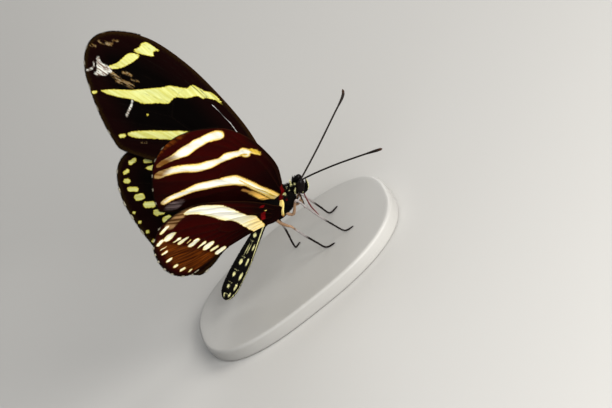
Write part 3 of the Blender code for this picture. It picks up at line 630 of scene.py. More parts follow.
    # The wear: scuffs with a few scales left, bare membrane, and lines at the veins.
    scuff = marked("scuff", 0.7, 0.16, -0.16) * dashes.fade(0.44, 0.52) * 0.9
    colour = scuff.mix(colour, grain.fade(0.6, 1.0).mix((0.17, 0.090, 0.022), (0.46, 0.40, 0.26)))
    bare = dashes.fade(0.40, 0.60).mix((0.15, 0.095, 0.070), (0.66, 0.68, 0.62))
    colour = marked("worn", 0.8, 0.1, -0.1).mix(colour, bare)
    colour = (flow.attribute("line").fade(0.11, 0.03) * 0.9).mix(colour, (0.004, 0.003, 0.002))
    # Painted highlight: a thin bright line along a vein of the left forewing, where light glints on it.
    colour = (flow.attribute("glint").fade(0.085, 0.02) * 0.9).mix(colour, (0.66, 0.67, 0.66))
    give("Base Color", colour)
    give("Roughness", 0.76 - band * 0.08 + grain * 0.12)
    give("Normal", bump(flow, shingle * 0.7 + grain * 0.5, 0.00004, 0.5))
    return material


wing_material = wing_finish()
# How broad the pale bands' gold rims are, above and below. It is a factor, not a
# length.
RIM_WIDTH = {"forewing": (0.2, 0.9), "hindwing": (0.2, 0.12)}
# The size of a wing's map, the hinge's place on it, and how far behind the hinge
# the streaks would meet.
MAP_SIZE = (50.0, 60.0)
MAP_HINGE = (3.0, 14.0)
RAYS_MEET = 6.0


def ramp(value, start, end):
    """0 up to start, 1 from end on, straight in between; start may lie past end."""
    return np.clip((value - start) / (end - start), 0.0, 1.0)


def make_wing(kind, name, side, place, outline, corners, veins, cells, upper, under):
    """Two faces of the membrane on one grid, joined by a rim, with the distances that its colours follow.

    A face is the flat plan put in place, at the membrane's middle less or plus half its thickness.
    """
    rows, columns = cells
    flat = wing_plan(outline, corners, cells)
    edge_gap = np.abs(line_distance(flat, smooth_line(outline, closed=True, per_span=6)))
    front = smooth_line(outline, closed=True, per_span=OUTLINE_STEPS)[:OUTLINE_STEPS * corners[0]]
    costa_gap = line_distance(flat, front)
    vein_gap = np.full(len(flat), FAR)
    for vein in veins.values():
        vein_gap = np.minimum(vein_gap, line_distance(flat, smooth_line(vein, per_span=6)))
    half, pleat = membrane_height(flat, vein_gap, edge_gap)
    count = len(flat)
    points = np.vstack([place(flat, pleat - half), place(flat, pleat + half)])
    sheet = grid_faces(rows, columns)
    middle_rows = np.arange(1, rows - 1) * columns
    ring = np.concatenate([np.arange(columns), middle_rows + columns - 1,
                           np.arange(count - 1, count - columns - 1, -1), middle_rows[::-1]])
    ahead = np.roll(ring, -1)
    rim = np.stack([ahead, ahead + count, ring + count, ring], axis=1)
    faces = [sheet, sheet[:, ::-1] + count, rim]
    if side < 0:
        faces = [part[:, ::-1] for part in faces]
    s, c = flat.T
    if kind == "forewing":
        warm = ramp(s, 9.0, 31.0) * np.clip(1.0 + (c + 3.0) / 9.0, 0.15, 1.0)
    else:
        warm = ramp(s, 5.0, 14.0)
    far = np.full(count, FAR)
    # under is 0 on the upper face and 1 on the underside. along runs from the hinge
    # to the tip, costa is the front edge, and the underside is redder by warm.
    values = {
        "under": np.repeat([0.0, 1.0], count),
        "along": np.tile(s, 2),
        "vein": np.tile(vein_gap, 2),
        "edge": np.tile(edge_gap, 2),
        "costa": np.tile(costa_gap, 2),
        "warm": np.tile(warm, 2),
        "rim": np.repeat(RIM_WIDTH[kind], count),
        "pale": np.concatenate([marks_distance(flat, *upper["pale"]), marks_distance(flat, *under["pale"])]),
    }
    for key in ("worn", "scuff", "glint", "line", "gold", "salmon", "red", "brown", "tan", "grey"):
        values[key] = np.concatenate([marks_distance(flat, *face[key]) if key in face else far
                                      for face in (upper, under)])
    chart = (flat + MAP_HINGE) / MAP_SIZE
    fan = np.stack([np.hypot(s + RAYS_MEET, c) / MAP_SIZE[0], np.arctan2(c, s + RAYS_MEET)], axis=1)
    title = kind + "_" + name
    add_piece(title + "_scaled", points, faces, wing_material, [title], values,
              {"wing": np.vstack([chart, chart + (0.0, 0.5)]), "rays": np.vstack([fan, fan + (0.0, 3.0)])})


FORE_CELLS = (260, 96)
HIND_CELLS = (190, 150)
# Each face's marks by the name of their colour: outlined bands, then strokes.
fore_upper = {"pale": (FORE_UPPER_BANDS, FORE_UPPER_SPOTS)}
fore_under = {"pale": (FORE_UNDER_BANDS, FORE_UNDER_SPOTS), "gold": ((), FORE_GOLD),
              "salmon": ((), FORE_SALMON), "red": ((), FORE_RED), "brown": (FORE_BROWN, ())}
hind_upper = {"pale": (HIND_UPPER_BANDS, HIND_UPPER_SPOTS)}
hind_under = {"pale": (HIND_UNDER_BANDS, HIND_UNDER_SPOTS), "red": ((), HIND_RED), "brown": (HIND_BROWN, ())}
# What each side has besides, on the forewing's upper face, its underside, and the hindwing's underside: on
# the left wear and painted highlights along a vein, on the right a grey corner and the painted highlight of a
# fold.
wear_and_painted_light = {"left": ({"worn": (WORN_PATCHES, WORN_STROKES), "scuff": ((), SCUFFS), "glint": ((), VEIN_GLINTS),
                  "line": ((), VEIN_LINES)}, {}, {}),
        "right": ({}, {"grey": (FORE_GREY, ())}, {"tan": (HIND_TAN, ())})}
put_fore, put_hind = {}, {}
for name, side in SIDES:
    put_fore[name] = fore_place(side, FORE_LEAN[name], FORE_SWEEP[name])
    put_hind[name] = hind_place(side, HIND_LEAN[name], HIND_SWEEP[name])
    fore_top_wear_and_glint, fore_low_grey, hind_low_painted_fold = wear_and_painted_light[name]
    make_wing("forewing", name, side, put_fore[name], FORE_OUTLINE, FORE_CORNERS, FORE_VEINS, FORE_CELLS,
              fore_upper | fore_top_wear_and_glint, fore_under | fore_low_grey)
    make_wing("hindwing", name, side, put_hind[name], HIND_OUTLINE, HIND_CORNERS, HIND_VEINS, HIND_CELLS,
              hind_upper, hind_under | hind_low_painted_fold)

# Body: head, thorax and abdomen under one skin, with a coat of fine black hair
# and scales. The neck and the waist are narrow; the abdomen is ringed.

# Stations from the face to the tail: forward, height, half width, reach above
# and below the line. They lie inside the solids by the depth of the coat.
BODY_STATIONS = (
    (5.74, 0.16, 0.05, 0.05, 0.05), (5.66, 0.14, 0.42, 0.44, 0.46), (5.4, 0.07, 0.78, 0.78, 0.84),
    (5.0, -0.05, 1.04, 1.05, 1.06), (4.5, -0.2, 1.18, 1.16, 1.16), (4.05, -0.33, 1.12, 1.12, 1.06),
    (3.65, -0.4, 0.92, 1.0, 0.92), (3.3, -0.42, 0.78, 0.94, 0.88), (3.0, -0.44, 0.84, 1.06, 0.92),
    (2.65, -0.48, 1.14, 1.32, 1.2), (2.1, -0.54, 1.52, 1.74, 1.6), (1.2, -0.64, 1.84, 2.14, 2.02),
    (0.0, -0.75, 1.98, 2.36, 2.24), (-1.3, -0.86, 1.98, 2.32, 2.28), (-2.6, -1.05, 1.72, 1.86, 2.0),
    (-3.7, -1.3, 1.2, 1.15, 1.4), (-4.6, -1.56, 0.9, 0.86, 0.98), (-5.5, -1.9, 0.84, 0.84, 0.88),
    (-7.6, -2.98, 0.98, 1.0, 1.02), (-10.05, -4.22, 1.18, 1.24, 1.24), (-12.5, -5.45, 1.37, 1.44, 1.44),
    (-15.0, -6.66, 1.45, 1.53, 1.53), (-16.65, -7.5, 1.44, 1.52, 1.52), (-17.8, -8.09, 1.38, 1.46, 1.46),
    (-18.6, -8.52, 1.18, 1.25, 1.25), (-19.25, -8.86, 0.86, 0.92, 0.92), (-19.65, -9.07, 0.47, 0.5, 0.5),
    (-19.8, -9.15, 0.06, 0.06, 0.06),
)
SKIN_RINGS = 380
SKIN_AROUND = 96
# The abdomen's joints, by their distance from the tail, and the grooves there.
ABDOMEN_RINGS = (1.7, 4.1, 6.8, 9.6, 13.1)
GROOVE_DEPTH = 0.06
GROOVE_HALF = 0.13


def unit(vectors):
    """Each vector divided by its length."""
    return vectors / np.maximum(np.linalg.norm(vectors, axis=-1, keepdims=True), 1e-9)


stations = spaced(smooth_line(BODY_STATIONS, per_span=16), SKIN_RINGS)
ring_numbers = np.arange(SKIN_RINGS)
spine = np.stack([stations[:, 0], np.zeros(SKIN_RINGS), stations[:, 1]], axis=1)
from_tail = run_along(spine[::-1])[::-1]
spine_back = unit(np.gradient(spine, axis=0))
spine_up = np.stack([-spine_back[:, 2], np.zeros(SKIN_RINGS), spine_back[:, 0]], axis=1)
spine_up *= np.sign(spine_up[:, 2:3])
ring_gap = np.abs(from_tail[:, None] - np.array(ABDOMEN_RINGS)).min(axis=1)
swell = 1.0 - GROOVE_DEPTH * np.exp(-(ring_gap / GROOVE_HALF) ** 2)


def at_rings(table, place):
    """A table's rows, one to a ring, at places between the rings."""
    return np.stack([np.interp(place, ring_numbers, column) for column in table.T], axis=1)


def on_skin(place, turn):
    """A skin point: place counts rings from the face, and turn is its angle from the back to the left.

    The section is an ellipse square to the spine, with its own height above and below.
    """
    wide, high, low = at_rings(stations[:, 2:5] * swell[:, None], place).T
    rise = np.where(np.cos(turn) > 0, high, low) * np.cos(turn)
    outward = np.array([0.0, 1.0, 0.0]) * (wide * np.sin(turn))[:, None]
    return HUB + at_rings(spine, place) + at_rings(spine_up, place) * rise[:, None] + outward


# Marks on the right side of head and thorax, with their mirror images on the
# left: start, end and radius, from the body's middle point.
PALE_BODY_MARKS = (
    ((4.28, -1.06, 0.27), (3.78, -0.96, -0.02), 0.09), ((3.78, -0.96, -0.02), (3.43, -0.74, -0.77), 0.09),
    ((3.43, -0.74, -0.77), (3.46, -0.64, -0.98), 0.1), ((4.44, -0.35, 0.9), (4.41, -0.71, 0.71), 0.11),
    ((2.95, -0.25, 0.58), (2.95, -0.56, 0.34), 0.14), ((2.05, -1.08, 0.62), (2.05, -1.14, 0.56), 0.24),
    ((-2.9, -1.4, -1.5), (-2.3, -1.35, -2.1), 0.16),
)
RED_BODY_MARKS = (
    ((1.9, -0.3, 1.17), (1.43, -1.11, 0.92), 0.3), ((1.43, -1.11, 0.92), (0.91, -1.63, 0.43), 0.3),
    ((1.67, -1.61, -0.05), (1.67, -1.63, -0.15), 0.13), ((-3.6, -0.95, -0.4), (-3.7, -1.0, -0.6), 0.25),
)
# Spots on each abdomen segment: distance from the tail, angle from the back,
# half length and half width. A pale line runs low along each side.
ABDOMEN_SPOTS = ((1.3, 45, 0.45, 0.16), (3.3, 52, 0.42, 0.24), (5.9, 51, 0.42, 0.24), (8.6, 53, 0.6, 0.27),
                 (11.3, 50, 0.9, 0.06), (11.4, 66, 0.8, 0.05), (1.7, 88, 0.5, 0.17), (3.6, 102, 0.7, 0.22),
                 (5.9, 102, 0.75, 0.23), (9.0, 99, 0.7, 0.16), (12.0, 98, 0.6, 0.14), (14.3, 55, 0.4, 0.3))
LOW_LINE = ((0.0, 112.0), (1.3, 125.0), (4.0, 146.0), (9.0, 142.0), (12.0, 128.0), (17.5, 100.0))
LOW_LINE_HALF = 0.12
# The pale ring lines: their half width, the stretch from the tail that has them,
# the degrees from the back round which they are drawn, how far, and how softly
# they end.
RING_LINE_HALF = 0.05
RING_LINE_SPAN = (1.0, 15.0)
RING_LINE_ANGLE = 52
RING_LINE_REACH = 18
RING_LINE_FADE = 20


def body_marks(points, place, turn):
    """Distances to the pale and the red marks: strokes, and on the abdomen spots, rings and lines too."""
    local = points - HUB
    local[:, 1] = -np.abs(local[:, 1])
    pale = marks_distance(local, (), PALE_BODY_MARKS)
    red = marks_distance(local, (), RED_BODY_MARKS)
    tail = np.interp(place, ring_numbers, from_tail)
    girth = np.interp(place, ring_numbers, stations[:, 2])
    angle = np.abs(np.degrees(np.arctan2(np.sin(turn), np.cos(turn))))
    for at, where, long, wide in ABDOMEN_SPOTS:
        across = np.radians(angle - where) * girth
        pale = np.minimum(pale, (np.hypot((tail - at) / long, across / wide) - 1) * wide)
    ring_line = np.abs(tail[:, None] - np.array(ABDOMEN_RINGS)).min(axis=1) - RING_LINE_HALF
    past = ramp(np.abs(angle - RING_LINE_ANGLE), RING_LINE_REACH, RING_LINE_REACH + RING_LINE_FADE)
    ring_line = ring_line + 0.3 * past
    first, last = RING_LINE_SPAN
    pale = np.minimum(pale, np.where((tail < last) & (tail > first), ring_line, FAR))
    low_angle = np.interp(tail, *np.array(LOW_LINE).T)
    low_line = np.abs(np.radians(angle - low_angle) * girth) - LOW_LINE_HALF
    pale = np.minimum(pale, np.where(tail < LOW_LINE[-1][0], low_line, FAR))
    return pale, red


def scale_finish(name, roughness):
    """Black scales and hair with a brown cast, pale yellow and red where the marks are."""
    material, flow, give = new_finish(name, roughness=roughness, specular=0.05)
    fine = flow.noise(flow.object_place(9000.0), detail=2.0)
    broad = flow.noise(flow.object_place(700.0), detail=3.0)
    ground = fine.mix((0.0008, 0.0008, 0.0010), (0.0065, 0.0050, 0.0045))
    ground = (broad.fade(0.55, 0.75) * 0.3).mix(ground, (0.016, 0.016, 0.009))
    wander = (fine - 0.5) * 0.14
    pale = (flow.attribute("pale") + wander).fade(0.05, -0.05)
    colour = pale.mix(ground, fine.mix((0.62, 0.58, 0.20), (0.95, 0.93, 0.56)))
    red = (flow.attribute("red") + wander).fade(0.05, -0.05)
    colour = red.mix(colour, fine.mix((0.085, 0.001, 0.002), (0.20, 0.005, 0.007)))
    give("Base Color", colour)
    give("Roughness", fine * 0.2 + (roughness - 0.1))
    give("Normal", bump(flow, fine, 0.00003, 0.5))
    return material


skin_material = scale_finish("body_skin", 0.7)
coat_material = scale_finish("body_coat", 0.6)

grid_place = np.repeat(np.arange(SKIN_RINGS, dtype=float), SKIN_AROUND)
grid_turn = np.tile(np.linspace(0.0, 2 * np.pi, SKIN_AROUND, endpoint=False), SKIN_RINGS)
skin_points = on_skin(grid_place, grid_turn)
skin_pale, skin_red = body_marks(skin_points, grid_place, grid_turn)
skin_ends = HUB + np.array([spine[0] + (0.03, 0.0, 0.0), spine[-1] - (0.03, 0.0, 0.015)])
add_piece("body_skin", np.vstack([skin_points, skin_ends]), capped_faces(SKIN_RINGS, SKIN_AROUND),
          skin_material, ["head", "thorax", "abdomen"],
          {"pale": np.append(skin_pale, [FAR, FAR]), "red": np.append(skin_red, [FAR, FAR])})

# A blade has three corners at its base, three at half its length, and a point. Its
# upper half bends by the curl, and its thickness is the flatness times its width.
BLADE_CORNERS = 7
BLADE_CURL = 0.35
BLADE_FLATNESS = 0.5


def tufts(roots, normals, lie, length, width, lift):
    """Tapered three-sided blades: the points, the side faces, and the tip and base faces.

    A blade leaves its root between its lie and the normal, by lift, and its upper half bends to the lie.
    """
    lie = unit(lie - normals * np.einsum("ij,ij->i", lie, normals)[:, None])
    start = unit(lie * (1 - lift)[:, None] + normals * lift[:, None])
    beside = unit(np.cross(start, normals))
    out = np.cross(beside, start)
    middle = roots + start * (0.5 * length)[:, None]
    tip = middle + (start * (1 - BLADE_CURL) + lie * BLADE_CURL) * (0.5 * length)[:, None]
    corners = []
    for centre, share in ((roots, 1.0), (middle, 0.8)):
        for k in range(3):
            angle = 2 * np.pi * k / 3
            offset = math.cos(angle) * beside + BLADE_FLATNESS * math.sin(angle) * out
            corners.append(centre + offset * (width * share)[:, None])
    points = np.stack(corners + [tip], axis=1).reshape(-1, 3)
    first = (np.arange(len(roots)) * BLADE_CORNERS)[:, None]
    sides = [first + np.array([[k, (k + 1) % 3, 3 + (k + 1) % 3, 3 + k]]) for k in range(3)]
    tips = [first + np.array([[3 + k, 3 + (k + 1) % 3, 6]]) for k in range(3)]
    base = [first + np.array([[2, 1, 0]])]
    return points, np.vstack(sides), np.vstack(tips + base)


# Half the size of a tuft's patch, as a share of the bake map.
PATCH_REACH = 0.0015


def patch_map(roots_uv):
    """Each tuft's own small patch of the bake map, laid out as the tuft's root lies on its piece."""
    corners = PATCH_REACH * np.array([(-1, -1), (1, -1), (0, 1), (-0.6, -0.6), (0.6, -0.6), (0, 0.6), (0, 0)])
    return (roots_uv[:, None] + corners[None]).reshape(-1, 2)


def coat(name, count, span, seed, lengths, width, lift, lie_down=0.15, keep=None):
    """Tufts strewn evenly over the skin between two rings, lying back along the body and a little down.

    lengths are some rings and the tufts' lengths there. keep, where given, says which roots have a tuft.
    """
    rng = np.random.default_rng(seed)
    first, last = span
    share = (stations[:, 2] * (ring_numbers >= first) * (ring_numbers <= last)).cumsum()
    place = np.interp(rng.random(count) * share[-1], share, ring_numbers)
    turn = rng.random(count) * 2 * np.pi
    roots = on_skin(place, turn)
    ahead = on_skin(place + 0.6, turn) - on_skin(place - 0.6, turn)
    sideways = on_skin(place, turn + 0.02) - on_skin(place, turn - 0.02)
    normals = unit(np.cross(sideways, ahead))
    inward = np.einsum("ij,ij->i", normals, roots - on_skin(place, turn + np.pi)) < 0
    normals[inward] *= -1
    lie = unit(ahead) + unit(sideways) * rng.normal(0.0, 0.18, count)[:, None]
    lie[:, 2] -= lie_down
    long = np.interp(place, *lengths) * rng.uniform(0.7, 1.25, count)
    wide = np.full(count, width) * rng.uniform(0.75, 1.2, count)
    stand = np.clip(lift + rng.normal(0.0, 0.06, count), 0.03, 0.9)
    if keep is not None:
        kept = keep(roots - HUB)
        place, turn, roots, normals, lie = (a[kept] for a in (place, turn, roots, normals, lie))
        long, wide, stand = long[kept], wide[kept], stand[kept]
    points, quads, triangles = tufts(roots, normals, lie, long, wide, stand)
    pale, red = body_marks(roots, place, turn)
    uv = np.stack([0.05 + 0.9 * (turn / (2 * np.pi)), 0.05 + 0.9 * place / SKIN_RINGS], axis=1)
    add_piece(name, points, [quads, triangles], coat_material, (),
              {"pale": np.repeat(pale, BLADE_CORNERS), "red": np.repeat(red, BLADE_CORNERS)},
              {"OFBake": patch_map(uv)})


def ring_at(forward):
    """The ring whose place along the body is nearest a distance forward of the middle point."""
    return int(np.abs(stations[:, 0] - forward).argmin())


# The left eye: its middle, its half sizes along the head's own axes, and how many
# times its size stays free of hair.
EYE_CENTRE = np.array([4.85, 1.06, -0.15])
EYE_RADII = np.array([0.84, 0.6, 1.38])
EYE_CLEARANCE = 1.06
FACE_PITCH = math.radians(42.0)
# The head's axes, one a row: ahead, sideways and up, pitched face down.
HEAD_AXES = np.array([[math.cos(FACE_PITCH), 0.0, -math.sin(FACE_PITCH)], [0.0, 1.0, 0.0],
                      [math.sin(FACE_PITCH), 0.0, math.cos(FACE_PITCH)]])


def clear_of_eyes(local):
    """True for roots outside both eyes: past 1 when mirrored to the left and measured in the eye's radii."""
    mirrored = np.stack([local[:, 0], np.abs(local[:, 1]), local[:, 2]], axis=1)
    from_centre = (mirrored - EYE_CENTRE) @ HEAD_AXES.T / (EYE_RADII * EYE_CLEARANCE)
    return np.linalg.norm(from_centre, axis=1) > 1.0


coat("coat_head", 6200, (0, ring_at(3.2)), seed=11, lengths=((0, ring_at(3.6)), (0.14, 0.34)), width=0.024,
     lift=0.3, keep=clear_of_eyes)
coat("coat_thorax", 16000, (ring_at(3.3), ring_at(-4.7)), seed=12, lengths=((0,), (0.58,)), width=0.032,
     lift=0.22)
coat("coat_abdomen", 14000, (ring_at(-4.5), SKIN_RINGS - 1), seed=13, lengths=((0,), (0.34,)), width=0.05,
     lift=0.09, lie_down=0.0)

# Crests of upright hair on the crown and the collar: root and tip of each bunch
# on the right side, mirrored to the left, and how dark it is. At 0 the last third
# of each blade is pale. At 1 about half have a pale point, at 1.7 hardly any.
CRESTS = (
    ((4.3, -0.22, 0.85), (4.7, -0.25, 1.72), 1.0), ((4.7, -0.12, 0.85), (5.15, -0.12, 1.42), 1.0),
    ((4.45, -0.4, 0.95), (4.9, -0.5, 1.8), 1.6), ((4.75, -0.35, 0.9), (5.35, -0.45, 1.6), 1.7),
    ((5.0, -0.3, 0.8), (5.6, -0.4, 1.3), 1.7), ((5.05, -0.3, 0.78), (5.45, -0.3, 1.05), 1.0),
    ((3.55, -0.25, 0.55), (4.15, -0.3, 1.6), 0.0), ((3.4, -0.55, 0.4), (3.95, -0.7, 1.3), 0.0),
    ((3.1, -0.2, 0.6), (3.5, -0.25, 1.4), 1.0), ((2.8, -0.7, 0.6), (3.15, -0.9, 1.3), 1.0),
    ((2.3, -0.5, 1.05), (2.6, -0.55, 1.65), 1.0), ((3.1, -0.75, 0.0), (3.55, -1.05, 0.45), 1.0),
    ((2.3, -1.15, 0.5), (2.65, -1.5, 1.0), 1.0),
)
CREST_BLADES = 70


def both_sides(places):
    """Places on the right side, then the same mirrored to the left."""
    right_side = np.array(places)
    return np.vstack([right_side, right_side * (1, -1, 1)])


rng = np.random.default_rng(14)
right_root, right_tip, right_dark = zip(*CRESTS)
crest_root, crest_tip, crest_dark = both_sides(right_root), both_sides(right_tip), np.tile(right_dark, 2)
bunch = np.repeat(np.arange(len(crest_root)), CREST_BLADES)
scatter = rng.normal(0.0, 1.0, (len(bunch), 3)) * (0.16, 0.16, 0.05)
roots = HUB + crest_root[bunch] + scatter
reach = crest_tip[bunch] + scatter * 0.35 + HUB - roots
long = np.linalg.norm(reach, axis=1) * rng.uniform(0.55, 1.05, len(bunch))
outward = unit(np.cross(reach, (0.0, 1.0, 0.0)))
points, quads, triangles = tufts(roots, outward, reach, long, np.full(len(bunch), 0.03),
                                 np.full(len(bunch), 0.05))
blade_pale = np.full((len(bunch), BLADE_CORNERS), FAR)
blade_pale[:, 6] = -0.6 + FAR * (rng.random(len(bunch)) < 0.55 * crest_dark[bunch])
blade_pale[crest_dark[bunch] < 0.5, 3:6] = 0.3
chart = np.stack([0.02 + 0.96 * rng.random(len(bunch)), 0.955 + 0.04 * rng.random(len(bunch))], axis=1)
add_piece("coat_crests", points, [quads, triangles], coat_material, (),
          {"pale": blade_pale.ravel(), "red": np.full(len(points), FAR)}, {"OFBake": patch_map(chart)})

# Fringes: a single row of short hair-like scales along each wing's margin, black
# with white nicks between the veins, rooted in the rim of the membrane.

FRINGE_LENGTH = 0.34
FRINGE_WIDTH = 0.045
FRINGE_BLADES = 1500
# How far above and below the rim's middle the blades are rooted, and how many
# steps of the outline they cover before the apex and past the hind corner.
FRINGE_LEVEL = 0.03
FRINGE_BEFORE = 20
FRINGE_PAST = 30
# A nick's half length, and the length over which it fades out.
NICK_HALF = 0.32
NICK_FADE = 0.25
fringe_material, flow, give = new_finish("wing_fringe", roughness=0.85, specular=0.012)
hairs = flow.noise(flow.object_place(5000.0), detail=2.0)
dark_hair = hairs.mix((0.0010, 0.0007, 0.0006), (0.010, 0.005, 0.003))
give("Base Color", flow.attribute("nick").mix(dark_hair, hairs.mix((0.35, 0.30, 0.18), (0.90, 0.86, 0.68))))
give("Roughness", hairs * 0.2 + 0.7)
give("Normal", bump(flow, hairs, 0.00002, 0.4))
FORE_NICKS = ((43.6, 1.0), (45.0, -2.9), (43.4, -5.4), (39.8, -8.0), (36.0, -10.2), (31.6, -12.3))
HIND_NICKS = ((27.4, 9.4), (27.8, 6.0), (27.2, 3.4), (26.0, 0.8), (24.4, -2.2), (22.0, -5.8), (19.6, -8.8),
              (16.6, -11.3), (13.6, -11.2))


def fringe(title, place, outline, corners, nicks, white):
    """Blades rooted along the outline from before the apex to past the hind corner, pointing outwards.

    Their length falls to about half towards a nick, and in the nick white is added to it and to the colour.
    """
    rng = np.random.default_rng(41)
    curve = smooth_line(outline, closed=True, per_span=OUTLINE_STEPS)
    first, last = OUTLINE_STEPS * corners[0] - FRINGE_BEFORE, OUTLINE_STEPS * corners[1] + FRINGE_PAST
    edge = spaced(curve[first:last], FRINGE_BLADES)
    along = np.gradient(edge, axis=0)
    out = unit(np.stack([along[:, 1], -along[:, 0]], axis=1))
    out = out * np.sign(np.einsum("ij,ij->i", out, edge - edge.mean(axis=0)))[:, None]
    level = rng.uniform(-FRINGE_LEVEL, FRINGE_LEVEL, FRINGE_BLADES)
    roots = place(edge - out * 0.05, level)
    tips = place(edge + out + rng.normal(0.0, 0.12, (FRINGE_BLADES, 2)), level)
    normals = place(edge, level + 1.0) - place(edge, level)
    gap = np.sqrt(((edge[:, None] - np.array(nicks)) ** 2).sum(axis=2)).min(axis=1)
    nick = white * (1.0 - ramp(gap, NICK_HALF, NICK_HALF + NICK_FADE))
    long = FRINGE_LENGTH * rng.uniform(0.6, 1.15, FRINGE_BLADES) * (0.55 + 0.45 * ramp(gap, 0.0, 1.0) + nick)
    points, quads, triangles = tufts(roots, normals, tips - roots, long, np.full(FRINGE_BLADES, FRINGE_WIDTH),
                                     np.full(FRINGE_BLADES, 0.03))
    run = np.linspace(0.02, 0.98, FRINGE_BLADES)
    uv = patch_map(np.stack([run, 0.5 + 0.4 * level / FRINGE_LEVEL], axis=1))
    add_piece("fringe_" + title, points, [quads, triangles], fringe_material, (),
              {"nick": np.repeat(nick, BLADE_CORNERS)}, {"OFBake": uv})


for name, side in SIDES:
    fringe("forewing_" + name, put_fore[name], FORE_OUTLINE, FORE_CORNERS, FORE_NICKS, 0.35)
    fringe("hindwing_" + name, put_hind[name], HIND_OUTLINE, HIND_CORNERS, HIND_NICKS, 0.75)

# Eyes: large glossy black domes of fine six-sided facets, set in the sides of the
# head. Each is a ball drawn out along the head's own axes.

eye_material, flow, give = new_finish("eye_facets", roughness=0.22, specular=0.04)
facets = flow.node("ShaderNodeTexVoronoi", inputs={"Vector": flow.object_place(17000.0), "Scale": 1.0},
                   output="Distance")
sheen = flow.noise(flow.object_place(900.0))
give("Base Color", sheen.mix((0.0012, 0.0012, 0.0018), (0.0070, 0.0040, 0.0036)))
give("Coat Weight", 0.04)
give("Coat Roughness", 0.1)
give("Normal", bump(flow, facets, 0.000012, 0.35))
EYE_ROWS = 48
EYE_AROUND = 80
latitude = np.linspace(-np.pi / 2 + 0.03, np.pi / 2 - 0.03, EYE_ROWS)[:, None]
longitude = np.linspace(0.0, 2 * np.pi, EYE_AROUND, endpoint=False)[None, :]
ball = np.stack([np.cos(latitude) * np.cos(longitude), np.sin(latitude) + 0 * longitude,
                 np.cos(latitude) * np.sin(longitude)], axis=-1).reshape(-1, 3)
ball = np.vstack([ball, [[0, -1, 0], [0, 1, 0]]])
for name, side in SIDES:
    centre = HUB + EYE_CENTRE * (1, side, 1)
    add_piece("eye_globe_" + name, centre + ball * EYE_RADII @ HEAD_AXES,
              capped_faces(EYE_ROWS, EYE_AROUND, flip=True), eye_material, ["eye_" + name])

# Palps: two short feelers of horn under scales and hair, which curve up before
# the face. They are cream in front and black behind.


def tube(path, radii, sides, breadth=1.0):
    """Rings carried along a path, square to it and turned no more than it turns, with a point at each end.

    A ring's point is the path's, plus breadth times cos sideways and sin upwards, times the radius there.
    Also returns each ring point's way out and way along.
    """
    tangents = unit(np.gradient(path, axis=0))
    side = np.cross(tangents[0], (0.0, 0.0, 1.0))
    if np.linalg.norm(side) < 0.2:
        side = np.cross(tangents[0], (0.0, 1.0, 0.0))
    frames = []
    for tangent in tangents:
        side = unit(side - tangent * (side @ tangent))
        frames.append(side)
    sideways = np.array(frames)[:, None]
    upwards = np.cross(sideways, tangents[:, None])
    angle = np.linspace(0.0, 2 * np.pi, sides, endpoint=False)[None, :, None]
    spread = radii[:, None, None]
    points = path[:, None] + spread * (breadth * np.cos(angle) * sideways + np.sin(angle) * upwards)
    points = np.vstack([points.reshape(-1, 3), path[:1], path[-1:]])
    normals = (np.cos(angle) * sideways + np.sin(angle) * upwards).reshape(-1, 3)
    faces = capped_faces(len(path), sides, flip=True)
    return points, faces, normals, np.repeat(tangents, sides, axis=0)


def route(points, radii, count):
    """A smooth path through some points, and the radius along it, at count even steps."""
    both = np.hstack([np.array(points, float), np.array(radii, float)[:, None]])
    even = spaced(smooth_line(both), count)
    return even[:, :3], even[:, 3]


def tube_tufts(name, tube_parts, sides, material, values, count, seed, length, width, lift):
    """Short tufts strewn over a tube's points, lying along it towards its end."""
    points, faces, normals, tangents = tube_parts
    rng = np.random.default_rng(seed)
    chosen = rng.choice(len(normals), count, replace=count > len(normals))
    roots = HUB + points[chosen]
    lie = tangents[chosen] + rng.normal(0.0, 0.12, (count, 3))
    long = length * rng.uniform(0.7, 1.3, count)
    wide = np.full(count, width)
    stand = np.clip(lift + rng.normal(0.0, 0.05, count), 0.03, 0.9)
    made, quads, triangles = tufts(roots, normals[chosen], lie, long, wide, stand)
    uv = np.stack([0.05 + 0.9 * (chosen % sides) / sides, 0.05 + 0.9 * chosen / len(normals)], axis=1)
    add_piece(name, made, [quads, triangles], material, (),
              {key: np.repeat(numbers[chosen], BLADE_CORNERS) for key, numbers in values.items()},
              {"OFBake": patch_map(uv)})


PALP_PATH = ((3.96, 0.42, -1.33), (4.41, 0.46, -1.8), (5.2, 0.48, -1.74), (5.82, 0.48, -1.2),
             (6.2, 0.46, -0.62))
PALP_RADII = (0.12, 0.18, 0.2, 0.19, 0.05)
PALP_SIDES = 20


def on_side(places, side):
    """Places given on the left side, kept there or mirrored to the right."""
    return np.array(places) * (1, side, 1)


for name, side in SIDES:
    palp = tube(*route(on_side(PALP_PATH, side), PALP_RADII, 50), PALP_SIDES)
    points, faces, normals = palp[:3]
    front = np.clip(0.4 - normals[:, 0], -1.0, 1.0) * 0.4
    red = np.full(len(points), FAR)
    add_piece("palp_core_" + name, HUB + points, faces, skin_material, ["palp_" + name],
              {"pale": np.append(front, [FAR, FAR]), "red": red})
    tube_tufts("palp_coat_" + name, palp, PALP_SIDES, coat_material,
               {"pale": front, "red": red[:-2]}, count=700, seed=21, length=0.22, width=0.03, lift=0.22)

# Flank lobes: a cream flap of scales below each forewing root, lying flat down
# the side of the thorax, with an orange end.

LOBE_PATH = ((0.7, 1.9, 0.5), (0.4, 2.22, 0.05), (-0.36, 2.36, -0.78), (-0.8, 2.28, -1.6), (-1.04, 2.0, -2.2))
LOBE_RADII = (0.08, 0.12, 0.12, 0.1, 0.04)
LOBE_SPREAD = 4.8
LOBE_ROWS = 60
LOBE_SIDES = 28
